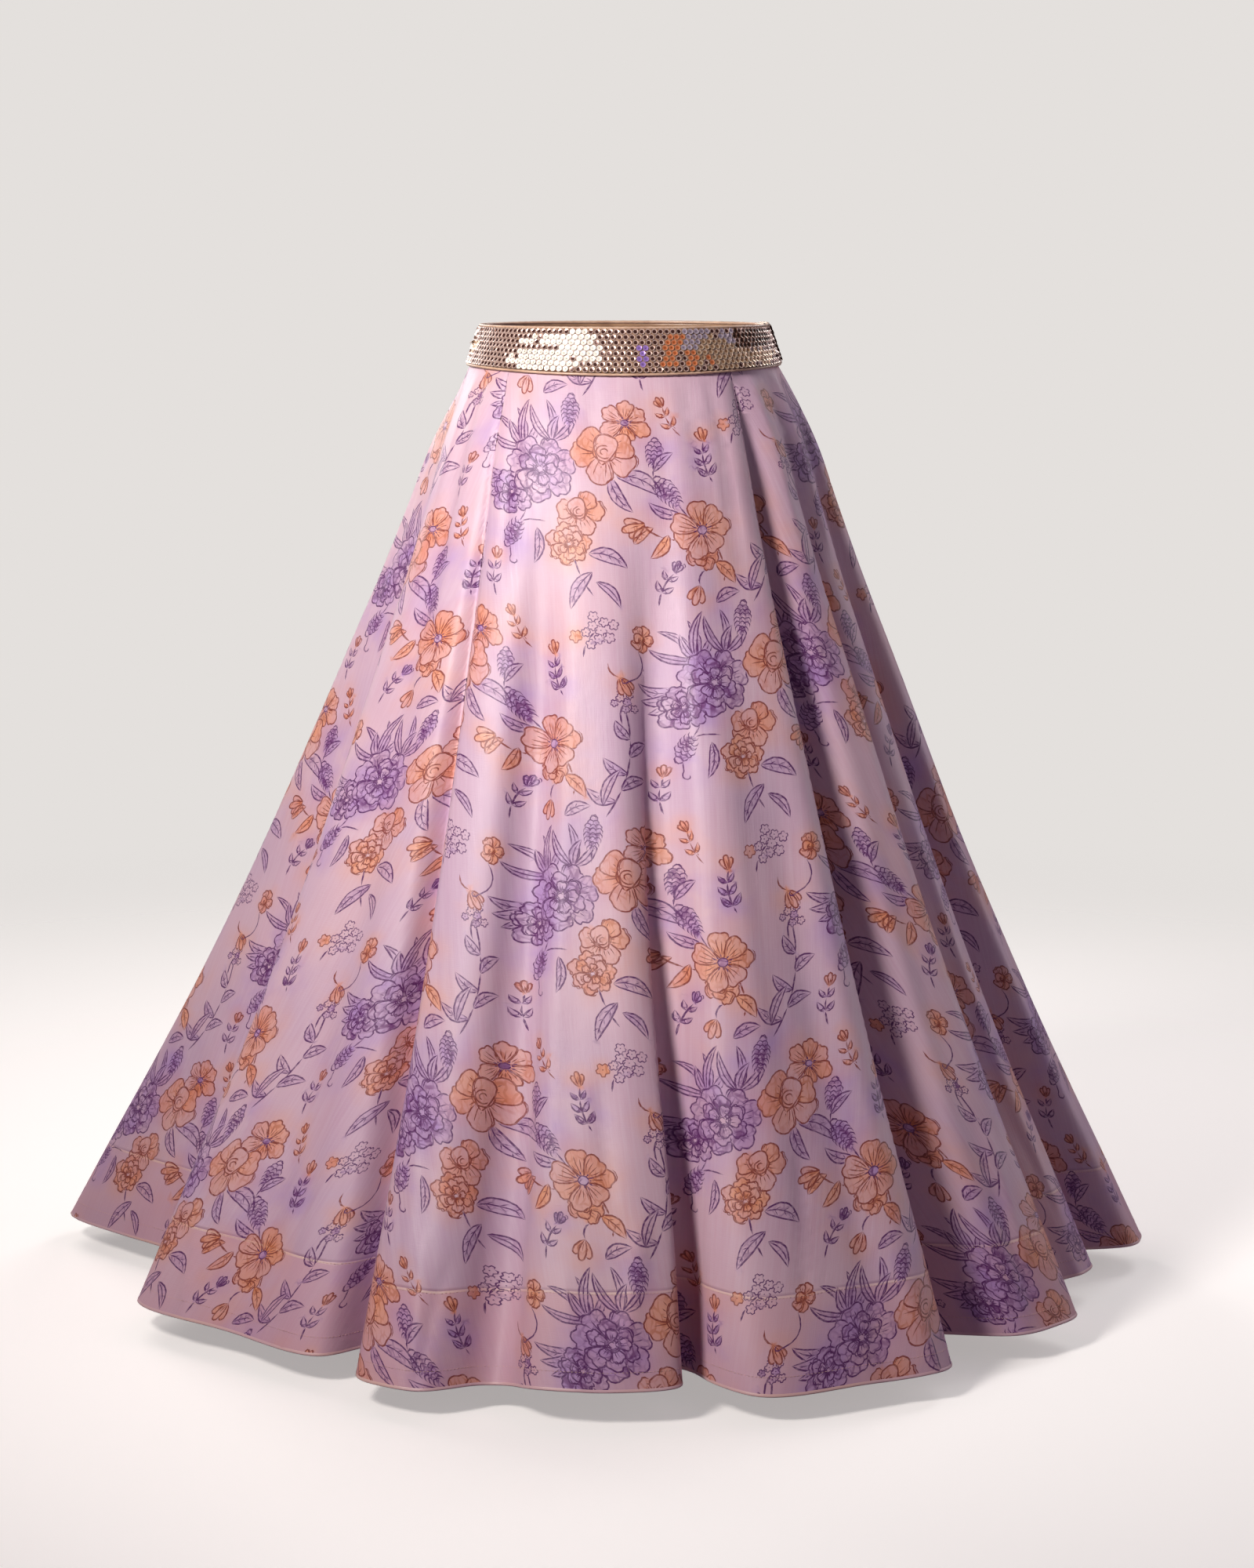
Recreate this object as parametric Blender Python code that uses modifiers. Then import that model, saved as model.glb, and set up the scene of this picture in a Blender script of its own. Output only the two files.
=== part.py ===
"""A lehenga: a floor-length panelled skirt that hangs open and flared from a stiff waistband.

The skirt is cut in five flared panels that are seamed at the bottoms of its folds, faced with a
deep hem on the inside and set into a contoured waistband that laps over itself at the side and is
edged with piping.  Metres, +Z up, the front towards -Y.  The origin is the middle of the waist,
level with the top of the waistband, where the wearer holds the skirt up.
"""

import math
from collections import namedtuple

import bpy
from mathutils import Vector

# ---------------------------------------------------------------- driving sizes, in metres
WAIST_HALF = (0.1452, 0.1150)         # half width and half depth round the top of the band
HIP_HALF = (0.1592, 0.1290)           # the same round its lower edge: the band is cut on a curve
BAND_DROP_FRONT = 0.0475              # height of the band with its piping, at the front
BAND_DROP_SIDE = 0.0415               # and at the sides and back
HEM_DROP = 0.958                      # from the top of the band to the hem
TUCK = 0.008                          # how far the skirt runs up inside the band

BAND_WALL = 0.0030                    # satin on buckram, with the sequins' ground
CLOTH_WALL = 0.0012                   # skirt cloth
FACING_WALL = 0.0010
PIPING_RADIUS = 0.0014
SEAM_GAP = 0.0003                     # between pieces that are sewn to each other
BAND_CLEARANCE = 0.0006               # between the skirt's top edge and the inside of the band

LAP_START_DEG = 99.0                  # the band's under end lies at the side seam
LAP_LENGTH_DEG = 10.0                 # and its upper end laps past it by this much
LAP_RISE_DEG = 9.0                    # the upper end steps out over this stretch

MEAN_REACH = 0.500                    # hem circle that the folds stand out from and dip under

# ---------------------------------------------------------------- the folds of the skirt
# One row for each fold, going round from the left back.  A fold has a first and a last edge, a
# crown between them, and a valley after the last edge.  Degrees are measured from the front
# towards +X; reaches are distances from the axis at the hem.  The waist columns say where the two
# edges rise to at the band.  "opens" is 1 for a fold that widens evenly from the band, less for
# one that opens at once and more for one that opens late.  "lift" raises the hem there.
Fold = namedtuple("Fold", "name first reach_first crown last reach_last valley reach_valley "
                          "waist_first waist_last waist_valley opens lift")
FOLDS = (
    Fold("left_tip",     -113, .560, .592, -102, .612, -80, .440, -107, -98, -84, 1.00, .000),
    Fold("left_front",    -67, .524, .489,  -37, .479, -34, .425,  -69, -51, -47, 1.15, .002),
    Fold("centre_ridge",-29.5, .504, .516,  -21, .515, -15, .476,  -43, -33, -26, 1.70, .000),
    Fold("centre",         -9, .503, .507,  6.2, .492, 5.5, .432,  -16,   2,   5, 3.40, .007),
    Fold("centre_right",   14, .512, .512,   37, .511,  41, .412,   14,  39,  43, 0.90, .000),
    Fold("right_first",    50, .494, .508,   61, .508,  66, .425,   49,  57,  61, 0.85, .002),
    Fold("right_second",   73, .462, .482,   81, .485,  85, .430,   67,  75,  80, 1.00, .003),
    Fold("right_tip",      90, .532, .549,   99, .530, 107, .430,   86,  93,  99, 0.80, .000),
    Fold("back_right",    116, .510, .535,  133, .512, 142, .415,  109, 126, 134, 1.00, .002),
    Fold("back_first",    150, .508, .528,  168, .506, 176, .420,  143, 161, 169, 1.05, .000),
    Fold("back_second",   184, .505, .530,  202, .512, 210, .418,  177, 195, 203, 1.00, .002),
    Fold("back_left",     218, .515, .538,  233, .520, 240, .440,  212, 229, 239, 1.05, .001),
)
# Panels, each from the valley before its first fold to the valley after its last one.
PANELS = (
    ("panel_front_left", "left_tip", "left_front"),
    ("panel_front", "centre_ridge", "centre_right"),
    ("panel_front_right", "right_first", "right_tip"),
    ("panel_back_right", "back_right", "back_first"),
    ("panel_back_left", "back_second", "back_left"),
)
STEPS = (3, 3, 3, 3)                  # columns from edge to crown, to edge, to valley, to edge

# Rows of the skirt below the band: how far down the drop each lies, and how much of the spread
# from band to hem the cloth has taken up by then (a little hip, then a slow hollow flare).  The
# last stretch, about 90 mm of cloth, is the depth of the hem facing.
Row = namedtuple("Row", "drop spread")
ROWS = (
    Row(0.000, 0.000),
    Row(0.035, 0.042),
    Row(0.085, 0.096),
    Row(0.150, 0.148),
    Row(0.230, 0.215),
    Row(0.320, 0.297),
    Row(0.420, 0.388),
    Row(0.520, 0.481),
    Row(0.620, 0.579),
    Row(0.720, 0.683),
    Row(0.815, 0.789),
    Row(0.907, 0.895),
    Row(1.000, 1.000),
)

BAND_COLUMNS = 72

# ---------------------------------------------------------------- materials
Finish = namedtuple("Finish", "name colour roughness metallic")
PRINTED_ORGANZA = Finish("printed_organza", (0.66, 0.45, 0.58, 1.0), 0.50, 0.0)
SEQUINNED_SATIN = Finish("sequinned_satin", (0.60, 0.40, 0.24, 1.0), 0.30, 0.6)
PIPING_SATIN = Finish("piping_satin", (0.62, 0.46, 0.34, 1.0), 0.40, 0.0)
FACING_ORGANZA = Finish("facing_organza", (0.70, 0.46, 0.56, 1.0), 0.50, 0.0)


def remove_all_objects():
    for old in list(bpy.data.objects):
        bpy.data.objects.remove(old, do_unlink=True)


def make_material(finish):
    material = bpy.data.materials.new(finish.name)
    material.use_nodes = True
    shader = material.node_tree.nodes["Principled BSDF"]
    shader.inputs["Base Color"].default_value = finish.colour
    shader.inputs["Roughness"].default_value = finish.roughness
    shader.inputs["Metallic"].default_value = finish.metallic
    return material


def add_object(name, data, finish, collection):
    """Put new data in the skirt's collection as one named object with its own material."""
    piece = bpy.data.objects.new(name, data)
    data.materials.append(make_material(finish))
    collection.objects.link(piece)
    return piece


# ---------------------------------------------------------------- the waistband
def band_drop(deg):
    """Height of the band at an angle: it dips a little towards the middle of the front."""
    frontness = max(0.0, math.cos(math.radians(deg))) ** 2
    return BAND_DROP_SIDE + (BAND_DROP_FRONT - BAND_DROP_SIDE) * frontness


def band_point(deg, down, inset):
    """A point on the band's cone: down is 0 at the top and 1 at the lower edge.

    The inset is measured square to the cone's side.
    """
    slope = math.atan2(HIP_HALF[0] - WAIST_HALF[0], BAND_DROP_SIDE)
    level = inset * math.cos(slope)
    half_width = WAIST_HALF[0] + (HIP_HALF[0] - WAIST_HALF[0]) * down - level
    half_depth = WAIST_HALF[1] + (HIP_HALF[1] - WAIST_HALF[1]) * down - level
    angle = math.radians(deg)
    return Vector((half_width * math.sin(angle), -half_depth * math.cos(angle),
                   -band_drop(deg) * down - inset * math.sin(slope)))


def lap_rise(deg):
    """How far the band's upper end has stepped out over its under end."""
    upper_start = LAP_START_DEG + 360.0
    t = min(1.0, max(0.0, (deg - upper_start + LAP_RISE_DEG) / LAP_RISE_DEG))
    return (BAND_WALL + SEAM_GAP) * t * t * (3.0 - 2.0 * t)


def band_degrees():
    """Angles along the band from its under end to the tip of its upper end."""
    sweep = 360.0 + LAP_LENGTH_DEG
    return [LAP_START_DEG + sweep * i / BAND_COLUMNS for i in range(BAND_COLUMNS + 1)]


def make_waistband(collection):
    """The curved strip, as an open surface thickened inwards."""
    edge = 2.0 * PIPING_RADIUS + SEAM_GAP
    levels = (0.0, 0.5, 1.0)
    points = []
    for deg in band_degrees():
        drop = band_drop(deg)
        for share in levels:
            down = (edge + (drop - 2.0 * edge) * share) / drop
            points.append(band_point(deg, down, -lap_rise(deg)))
    rows = len(levels)
    faces = []
    for i in range(BAND_COLUMNS):
        for j in range(rows - 1):
            low = i * rows + j
            faces.append((low, low + 1, low + rows + 1, low + rows))
    mesh = bpy.data.meshes.new("waistband")
    mesh.from_pydata(points, [], faces)
    mesh.shade_smooth()
    band = add_object("waistband", mesh, SEQUINNED_SATIN, collection)
    wall = band.modifiers.new("wall", "SOLIDIFY")
    wall.thickness = BAND_WALL
    wall.offset = -1.0
    return band


def make_piping(name, at_top, collection):
    """A satin cord along one edge of the band, lapped where the band is."""
    curve = bpy.data.curves.new(name, "CURVE")
    curve.dimensions = "3D"
    curve.bevel_depth = PIPING_RADIUS
    curve.bevel_resolution = 1
    curve.use_fill_caps = True
    spline = curve.splines.new("POLY")
    spline.points.add(BAND_COLUMNS)
    for point, deg in zip(spline.points, band_degrees()):
        share = PIPING_RADIUS / band_drop(deg)
        down = share if at_top else 1.0 - share
        place = band_point(deg, down, BAND_WALL / 2.0 - lap_rise(deg))
        point.co = (place.x, place.y, place.z, 1.0)
    return add_object(name, curve, PIPING_SATIN, collection)


# ---------------------------------------------------------------- the skirt's surface
def polar(deg, reach):
    angle = math.radians(deg)
    return reach * math.sin(angle), -reach * math.cos(angle)


def fold_knots():
    """Four knots a fold: edge, crown, edge, valley.  Each is x, y, waist angle, opens, lift."""
    knots = []
    for fold in FOLDS:
        crown_deg = (fold.first + fold.last) / 2.0
        crown_waist = (fold.waist_first + fold.waist_last) / 2.0
        for deg, reach, waist in (
                (fold.first, fold.reach_first, fold.waist_first),
                (crown_deg, fold.crown, crown_waist),
                (fold.last, fold.reach_last, fold.waist_last),
                (fold.valley, fold.reach_valley, fold.waist_valley)):
            knots.append(Vector((*polar(deg, reach), waist, fold.opens, fold.lift)))
    return knots


def knot_spacing(a, b):
    """Centripetal spacing, which keeps the curve from swinging wide at tight folds."""
    return math.hypot(b[0] - a[0], b[1] - a[1]) ** 0.5


def curve_through(p0, p1, p2, p3, u):
    """Point at u from 0 to 1 between p1 and p2 on a centripetal Catmull-Rom curve."""
    t1 = knot_spacing(p0, p1)
    t2 = t1 + knot_spacing(p1, p2)
    t3 = t2 + knot_spacing(p2, p3)
    t = t1 + (t2 - t1) * u
    a1 = p0.lerp(p1, t / t1)
    a2 = p1.lerp(p2, (t - t1) / (t2 - t1))
    a3 = p2.lerp(p3, (t - t2) / (t3 - t2))
    b1 = a1.lerp(a2, t / t2)
    b2 = a2.lerp(a3, (t - t1) / (t3 - t1))
    return b1.lerp(b2, (t - t1) / (t2 - t1))


def skirt_stations():
    """One station for each column of the skirt, all the way round."""
    knots = fold_knots()
    count = len(knots)
    full_turn = Vector((0.0, 0.0, 360.0, 0.0, 0.0))
    stations = []
    for i in range(count):
        near = []
        for j in (i - 1, i, i + 1, i + 2):
            turns = j // count
            near.append(knots[j % count] + full_turn * turns)
        steps = STEPS[i % len(STEPS)]
        for k in range(steps):
            stations.append(curve_through(*near, k / steps))
    return stations


def skirt_point(station, row):
    """A point on the outside of the cloth, from the band's lower edge down to the hem."""
    hem_x, hem_y, waist_deg, opens, lift = station
    top = band_point(waist_deg, 1.0, BAND_WALL + BAND_CLEARANCE)
    reach = math.hypot(hem_x, hem_y)
    even = Vector((hem_x, hem_y)) * (MEAN_REACH / reach)
    folded = Vector((hem_x, hem_y)) - even
    place = top.xy * (1.0 - row.spread) + even * row.spread + folded * row.spread ** opens
    z = top.z + (-HEM_DROP + lift - top.z) * row.drop
    return Vector((place.x, place.y, z))


def tuck_point(station):
    """The top edge of the cloth, run up inside the band."""
    waist_deg = station[2]
    down = 1.0 - TUCK / band_drop(waist_deg)
    return band_point(waist_deg, down, BAND_WALL + BAND_CLEARANCE)


def skirt_grid():
    """Columns of points round the skirt, each from the tucked edge down to the hem."""
    grid = []
    for station in skirt_stations():
        column = [tuck_point(station)]
        for row in ROWS:
            column.append(skirt_point(station, row))
        grid.append(column)
    return grid


def outward_normals(grid):
    """The cloth's outward direction at each point of the closed grid."""
    columns = len(grid)
    rows = len(grid[0])
    normals = []
    for i in range(columns):
        before = grid[i - 1]
        after = grid[(i + 1) % columns]
        column = []
        for j in range(rows):
            down = grid[i][min(j + 1, rows - 1)] - grid[i][max(j - 1, 0)]
            round_ = after[j] - before[j]
            column.append(down.cross(round_).normalized())
        normals.append(column)
    return normals


def moved_in(grid, normals, depth):
    """The grid moved towards the inside of the skirt."""
    moved = []
    for points, directions in zip(grid, normals):
        moved.append([p - n * depth for p, n in zip(points, directions)])
    return moved


def seam_trimmed(columns):
    """Draw the first and last column back from the seam by half the gap."""
    trimmed = [list(column) for column in columns]
    for end, neighbour in ((0, 1), (-1, -2)):
        for j, point in enumerate(columns[end]):
            inward = (columns[neighbour][j] - point).normalized()
            trimmed[end][j] = point + inward * (SEAM_GAP / 2.0)
    return trimmed


def cloth_wall(name, outer, inner, finish, collection, closed=False):
    """A wall of cloth lofted between its outer and inner columns of points.

    The two faces share their diagonals, so that a layer made from moved points stays parallel.
    """
    columns = len(outer)
    rows = len(outer[0])
    points = [p for column in outer for p in column]
    points += [p for column in inner for p in column]
    inside = columns * rows

    def corner(i, j):
        return (i % columns) * rows + j

    faces = []
    last = columns if closed else columns - 1
    for i in range(last):
        for j in range(rows - 1):
            a, b = corner(i, j), corner(i + 1, j)
            c, d = corner(i + 1, j + 1), corner(i, j + 1)
            faces.append((a, d, c))
            faces.append((a, c, b))
            faces.append((inside + a, inside + c, inside + d))
            faces.append((inside + a, inside + b, inside + c))
        top_a, top_b = corner(i, 0), corner(i + 1, 0)
        hem_a, hem_b = corner(i, rows - 1), corner(i + 1, rows - 1)
        faces.append((top_a, top_b, inside + top_b, inside + top_a))
        faces.append((hem_b, hem_a, inside + hem_a, inside + hem_b))
    if not closed:
        for j in range(rows - 1):
            a, d = corner(0, j), corner(0, j + 1)
            b, c = corner(columns - 1, j), corner(columns - 1, j + 1)
            faces.append((d, a, inside + a, inside + d))
            faces.append((b, c, inside + c, inside + b))
    mesh = bpy.data.meshes.new(name)
    mesh.from_pydata(points, [], faces)
    mesh.shade_smooth()
    mesh.set_sharp_from_angle(angle=math.radians(50))
    return add_object(name, mesh, finish, collection)


def make_panels(grid, inner, collection):
    """The five panels, each cut from the grid between the valleys at its two seams."""
    names = [fold.name for fold in FOLDS]
    per_fold = sum(STEPS)
    to_valley = STEPS[0] + STEPS[1] + STEPS[2]
    count = len(grid)
    for name, first_fold, last_fold in PANELS:
        start = names.index(first_fold) * per_fold - STEPS[3]
        end = names.index(last_fold) * per_fold + to_valley
        picks = [i % count for i in range(start, end + 1)]
        outside = seam_trimmed([grid[i] for i in picks])
        inside = seam_trimmed([inner[i] for i in picks])
        cloth_wall(name, outside, inside, PRINTED_ORGANZA, collection)


def make_hem_facing(grid, normals, collection):
    """A ring of cloth inside the hem, made from the panels' own points moved in."""
    low_grid = [column[-2:] for column in grid]
    low_normals = [column[-2:] for column in normals]
    face = moved_in(low_grid, low_normals, CLOTH_WALL + SEAM_GAP)
    back = moved_in(low_grid, low_normals, CLOTH_WALL + SEAM_GAP + FACING_WALL)
    return cloth_wall("hem_facing", face, back, FACING_ORGANZA, collection, closed=True)


def main():
    remove_all_objects()
    collection = bpy.data.collections.new("lehenga_skirt")
    bpy.context.scene.collection.children.link(collection)
    make_waistband(collection)
    make_piping("piping_top", True, collection)
    make_piping("piping_bottom", False, collection)
    grid = skirt_grid()
    normals = outward_normals(grid)
    inner = moved_in(grid, normals, CLOTH_WALL)
    make_panels(grid, inner, collection)
    make_hem_facing(grid, normals, collection)


main()
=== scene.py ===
# %% [markdown]
# # A printed organza lehenga skirt
#
# A lehenga is a floor-length skirt that hangs from a stiff band at the waist. This one is silky
# organza, cut in flared panels, printed with lilac and orange garden flowers, faced at the hem
# and set into a band that is covered in sequins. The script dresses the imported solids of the
# skirt: it repeats their folds more finely, charts the print on the flat cloth in millimetres,
# cuts that print into the cloth's own mesh, and then sews on the sequins, piping and stitches.

# %% Load the fixed frame
import math
import random
from collections import namedtuple

import bmesh
import bpy
import numpy as np
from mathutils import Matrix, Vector, geometry


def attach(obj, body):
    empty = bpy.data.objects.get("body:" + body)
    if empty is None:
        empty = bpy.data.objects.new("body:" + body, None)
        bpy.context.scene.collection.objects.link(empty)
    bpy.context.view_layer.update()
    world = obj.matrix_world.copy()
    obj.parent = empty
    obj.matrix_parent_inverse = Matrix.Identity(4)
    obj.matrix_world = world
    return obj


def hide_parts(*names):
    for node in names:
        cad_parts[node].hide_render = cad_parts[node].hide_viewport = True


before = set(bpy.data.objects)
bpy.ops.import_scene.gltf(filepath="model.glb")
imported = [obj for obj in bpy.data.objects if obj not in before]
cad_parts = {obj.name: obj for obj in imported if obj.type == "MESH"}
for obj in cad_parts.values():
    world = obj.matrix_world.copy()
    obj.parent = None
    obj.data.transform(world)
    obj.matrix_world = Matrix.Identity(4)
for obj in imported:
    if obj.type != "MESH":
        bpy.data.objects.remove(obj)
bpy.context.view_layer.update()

BODY = "root"
MM = 0.001

# %% [markdown]
# ## Colours and nodes
#
# Dyers' colours are written here as sRGB hex values, the way a swatch is read. Blender's shaders
# want linear light, so one function turns them. One small helper adds a node with its settings
# and links, which keeps each material a short list of what is done to the cloth.

# %% Colour and node helpers


def linear(hex_value):
    """An sRGB hex value as linear RGBA."""
    channels = [int(hex_value[i:i + 2], 16) / 255.0 for i in (1, 3, 5)]
    curve = [c / 12.92 if c <= 0.04045 else ((c + 0.055) / 1.055) ** 2.4 for c in channels]
    return (*curve, 1.0)


def add_node(tree, kind, settings=None, **links):
    """Add a node, set its properties and sockets, and link other nodes' outputs to its inputs.

    Links are given by input name with underscores for spaces, or as in_0, in_1 by number.
    """
    node = tree.nodes.new(kind)
    for key, value in (settings or {}).items():
        if key in node.inputs.keys() or isinstance(key, int):
            node.inputs[key].default_value = value
        else:
            setattr(node, key, value)
    for key, source in links.items():
        socket = int(key[3:]) if key.startswith("in_") else key.replace("_", " ")
        tree.links.new(source, node.inputs[socket])
    return node


def own_place(tree):
    """Where a point lies on its own object."""
    return add_node(tree, "ShaderNodeTexCoord").outputs["Object"]


def new_material(name, **surface):
    """A material with one Principled shader; surface gives its plain numbers and hex colours."""
    material = bpy.data.materials.new(name)
    material.use_nodes = True
    shader = material.node_tree.nodes["Principled BSDF"]
    for key, value in surface.items():
        plain = linear(value) if isinstance(value, str) else value
        shader.inputs[key.replace("_", " ")].default_value = plain
    return material, material.node_tree, shader


def add_to_scene(name, data):
    """A new object in the scene."""
    made = bpy.data.objects.new(name, data)
    bpy.context.scene.collection.objects.link(made)
    return made


def new_mesh(name, points, faces, material):
    """A smooth-shaded mesh in one material."""
    mesh = bpy.data.meshes.new(name)
    mesh.from_pydata(points, [], faces)
    mesh.materials.append(material)
    mesh.shade_smooth()
    return mesh


# %% [markdown]
# ## Camera, floor and lights
#
# The skirt is looked at from the front, from a little above its waist, with a long lens, so its
# sides stay straight. A soft lamp stands at the upper left and in front, near enough that its
# light falls off down the skirt. It leaves the right-hand folds dim, which is what makes their
# depth readable. A weak fill at the right keeps those folds from going black, and three lamps at
# the side and behind light the back as evenly. The floor and the surround glow by themselves, so
# the ground stays pale on every side, and they throw no light on the cloth.

# %% Camera
LENS_MM = 83.75
SENSOR_MM = 36.0
CAMERA_PLACE = (0.0032, -3.7, 0.10)
CAMERA_TILT_DEG = 81.25               # 90 would look level
camera_data = bpy.data.cameras.new("camera")
camera_data.lens = LENS_MM
camera_data.sensor_width = SENSOR_MM
camera = add_to_scene("camera", camera_data)
camera.location = CAMERA_PLACE
camera.rotation_euler = (math.radians(CAMERA_TILT_DEG), 0.0, 0.0)
bpy.context.scene.camera = camera

# %% Floor and surround
FLOOR_HEIGHT = -0.985
FLOOR_RADIUS = 2.8
FADE_START = 0.9                      # how far out the floor begins to fade
WALL_RADIUS = 9.0
WALL_HEIGHT = 14.0
BELOW_FLOOR = -0.004                  # the surround runs on under the floor
STAGE_STEPS = 96


def stage_piece(name, profile, material):
    """A piece of the stage, turned round the upright axis from pairs of radius and height."""
    turns = [2.0 * math.pi * i / STAGE_STEPS for i in range(STAGE_STEPS)]
    points = [(r * math.cos(a), r * math.sin(a), z) for r, z in profile for a in turns]
    faces = []
    for ring in range(len(profile) - 1):
        a, b = ring * STAGE_STEPS, (ring + 1) * STAGE_STEPS
        for i in range(STAGE_STEPS):
            after = (i + 1) % STAGE_STEPS
            faces.append((a + i, a + after, b + after, b + i))
    piece = add_to_scene(name, new_mesh(name, points, faces, material))
    piece.location.z = FLOOR_HEIGHT
    piece.visible_diffuse = False
    piece.visible_glossy = False


def make_floor():
    """A round pale floor that takes the shadows and fades out towards its rim."""
    material, tree, shader = new_material("matt_studio_paper", Roughness=0.85, Base_Color="#ECE9E6",
                                          Emission_Color="#ECE9E6", Emission_Strength=0.45)
    place = own_place(tree)
    away = add_node(tree, "ShaderNodeVectorMath", {"operation": "LENGTH"}, in_0=place)
    fade = add_node(tree, "ShaderNodeMapRange",
                    {"interpolation_type": "SMOOTHSTEP", "From Min": FADE_START,
                     "From Max": FLOOR_RADIUS, "To Min": 1.0, "To Max": 0.0},
                    Value=away.outputs["Value"])
    tree.links.new(fade.outputs["Result"], shader.inputs["Alpha"])
    stage_piece("studio_floor", [(0.002, 0.0), (FLOOR_RADIUS, 0.0)], material)


def make_surround():
    """An even pale surround on all sides: a wide floor with a round wall."""
    material, _, _ = new_material("pale_surround", Roughness=1.0, Base_Color="#000000",
                                  Specular_IOR_Level=0.0, Emission_Color="#E4E0DD",
                                  Emission_Strength=1.0)
    profile = [(0.4, BELOW_FLOOR), (WALL_RADIUS, BELOW_FLOOR), (WALL_RADIUS, WALL_HEIGHT)]
    stage_piece("studio_surround", profile, material)


make_floor()
make_surround()


def add_lamp(name, place, target, size, watts, spread_deg, colour):
    """A soft square lamp that points at the target; its grid holds the light within the spread."""
    data = bpy.data.lights.new(name, "AREA")
    data.shape = "SQUARE"
    data.size = size
    data.spread = math.radians(spread_deg)
    data.energy = watts
    data.color = linear(colour)[:3]
    lamp = add_to_scene(name, data)
    lamp.location = place
    lamp.rotation_euler = (Vector(target) - Vector(place)).to_track_quat("-Z", "Y").to_euler()


# Each lamp: its place, what it points at, its size, watts, spread in degrees and colour.
LAMPS = {
    "key": ((-1.20, -1.50, 0.92), (0.12, 0.0, -0.31), 0.5, 10.6, 78.0, "#FFF9F5"),
    "fill": ((2.4, -2.6, 0.6), (0.0, 0.0, -0.55), 2.2, 1.8, 120.0, "#F3E4FF"),
    "rim": ((1.6, 2.2, 1.6), (0.0, 0.0, -0.4), 1.4, 14.0, 120.0, "#FFFFFF"),
    "back": ((-1.5, 2.4, 0.9), (0.0, 0.0, -0.5), 1.6, 20.0, 120.0, "#FFF9F5"),
    "side": ((3.0, 1.3, 0.3), (0.0, 0.1, -0.5), 1.8, 9.0, 120.0, "#FFF4F8"),
}
for lamp_name, lamp_values in LAMPS.items():
    add_lamp(lamp_name, *lamp_values)

world = bpy.data.worlds.new("soft_room")
world.use_nodes = True
sky = world.node_tree.nodes["Background"]
sky.inputs["Color"].default_value = linear("#F0D8F2")
sky.inputs["Strength"].default_value = 0.09
bpy.context.scene.world = world
bpy.context.scene.view_settings.view_transform = "Standard"
print("camera, floor and", len(LAMPS), "lamps are placed")

# %% [markdown]
# ## The skirt's surface
#
# The solids were lofted from a table of folds: each has two edges with a crown between them, and
# a valley after it. The same table is repeated here, and the same curve is read at many more
# places, so the fine cloth lies on the solids' form. Everything is worked out as arrays, because
# the cloth needs some hundred thousand points.

# %% Sizes and folds
WAIST_HALF = (0.1452, 0.1150)
HIP_HALF = (0.1592, 0.1290)
BAND_DROP_FRONT = 0.0475
BAND_DROP_SIDE = 0.0415
HEM_DROP = 0.958
TUCK = 0.008
BAND_WALL = 0.0030
PIPING_RADIUS = 0.0014
SEAM_GAP = 0.0003
BAND_CLEARANCE = 0.0006
MEAN_REACH = 0.500
LAP_START_DEG = 99.0
LAP_LENGTH_DEG = 10.0
LAP_RISE_DEG = 9.0

Fold = namedtuple("Fold", "name first reach_first crown last reach_last valley reach_valley "
                          "waist_first waist_last waist_valley opens lift")
FOLDS = (
    Fold("left_tip",     -113, .560, .592, -102, .612, -80, .440, -107, -98, -84, 1.00, .000),
    Fold("left_front",    -67, .524, .489,  -37, .479, -34, .425,  -69, -51, -47, 1.15, .002),
    Fold("centre_ridge",-29.5, .504, .516,  -21, .515, -15, .476,  -43, -33, -26, 1.70, .000),
    Fold("centre",         -9, .503, .507,  6.2, .492, 5.5, .432,  -16,   2,   5, 3.40, .007),
    Fold("centre_right",   14, .512, .512,   37, .511,  41, .412,   14,  39,  43, 0.90, .000),
    Fold("right_first",    50, .494, .508,   61, .508,  66, .425,   49,  57,  61, 0.85, .002),
    Fold("right_second",   73, .462, .482,   81, .485,  85, .430,   67,  75,  80, 1.00, .003),
    Fold("right_tip",      90, .532, .549,   99, .530, 107, .430,   86,  93,  99, 0.80, .000),
    Fold("back_right",    116, .510, .535,  133, .512, 142, .415,  109, 126, 134, 1.00, .002),
    Fold("back_first",    150, .508, .528,  168, .506, 176, .420,  143, 161, 169, 1.05, .000),
    Fold("back_second",   184, .505, .530,  202, .512, 210, .418,  177, 195, 203, 1.00, .002),
    Fold("back_left",     218, .515, .538,  233, .520, 240, .440,  212, 229, 239, 1.05, .001),
)
FOLD_NAMES = [fold.name for fold in FOLDS]
PANELS = (
    ("panel_front_left", "left_tip", "left_front"),
    ("panel_front", "centre_ridge", "centre_right"),
    ("panel_front_right", "right_first", "right_tip"),
    ("panel_back_right", "back_right", "back_first"),
    ("panel_back_left", "back_second", "back_left"),
)
DROPS = np.array([0, .035, .085, .150, .230, .320, .420, .520, .620, .720, .815, .907, 1])
SPREADS = np.array([0, .042, .096, .148, .215, .297, .388, .481, .579, .683, .789, .895, 1])

FINE_STEPS = 24                       # columns between one knot of a fold and the next
FINE_ROWS = 160                       # rows from the band to the hem
KNOTS_PER_FOLD = 4

# %% The band's cone and the folds' knots


def unit(vectors):
    """The same directions, each one long."""
    return vectors / np.linalg.norm(vectors, axis=-1, keepdims=True)


def running_length(points):
    """How far along a line each of its points lies."""
    return np.concatenate([[0.0], np.cumsum(np.linalg.norm(np.diff(points, axis=0), axis=1))])


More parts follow.
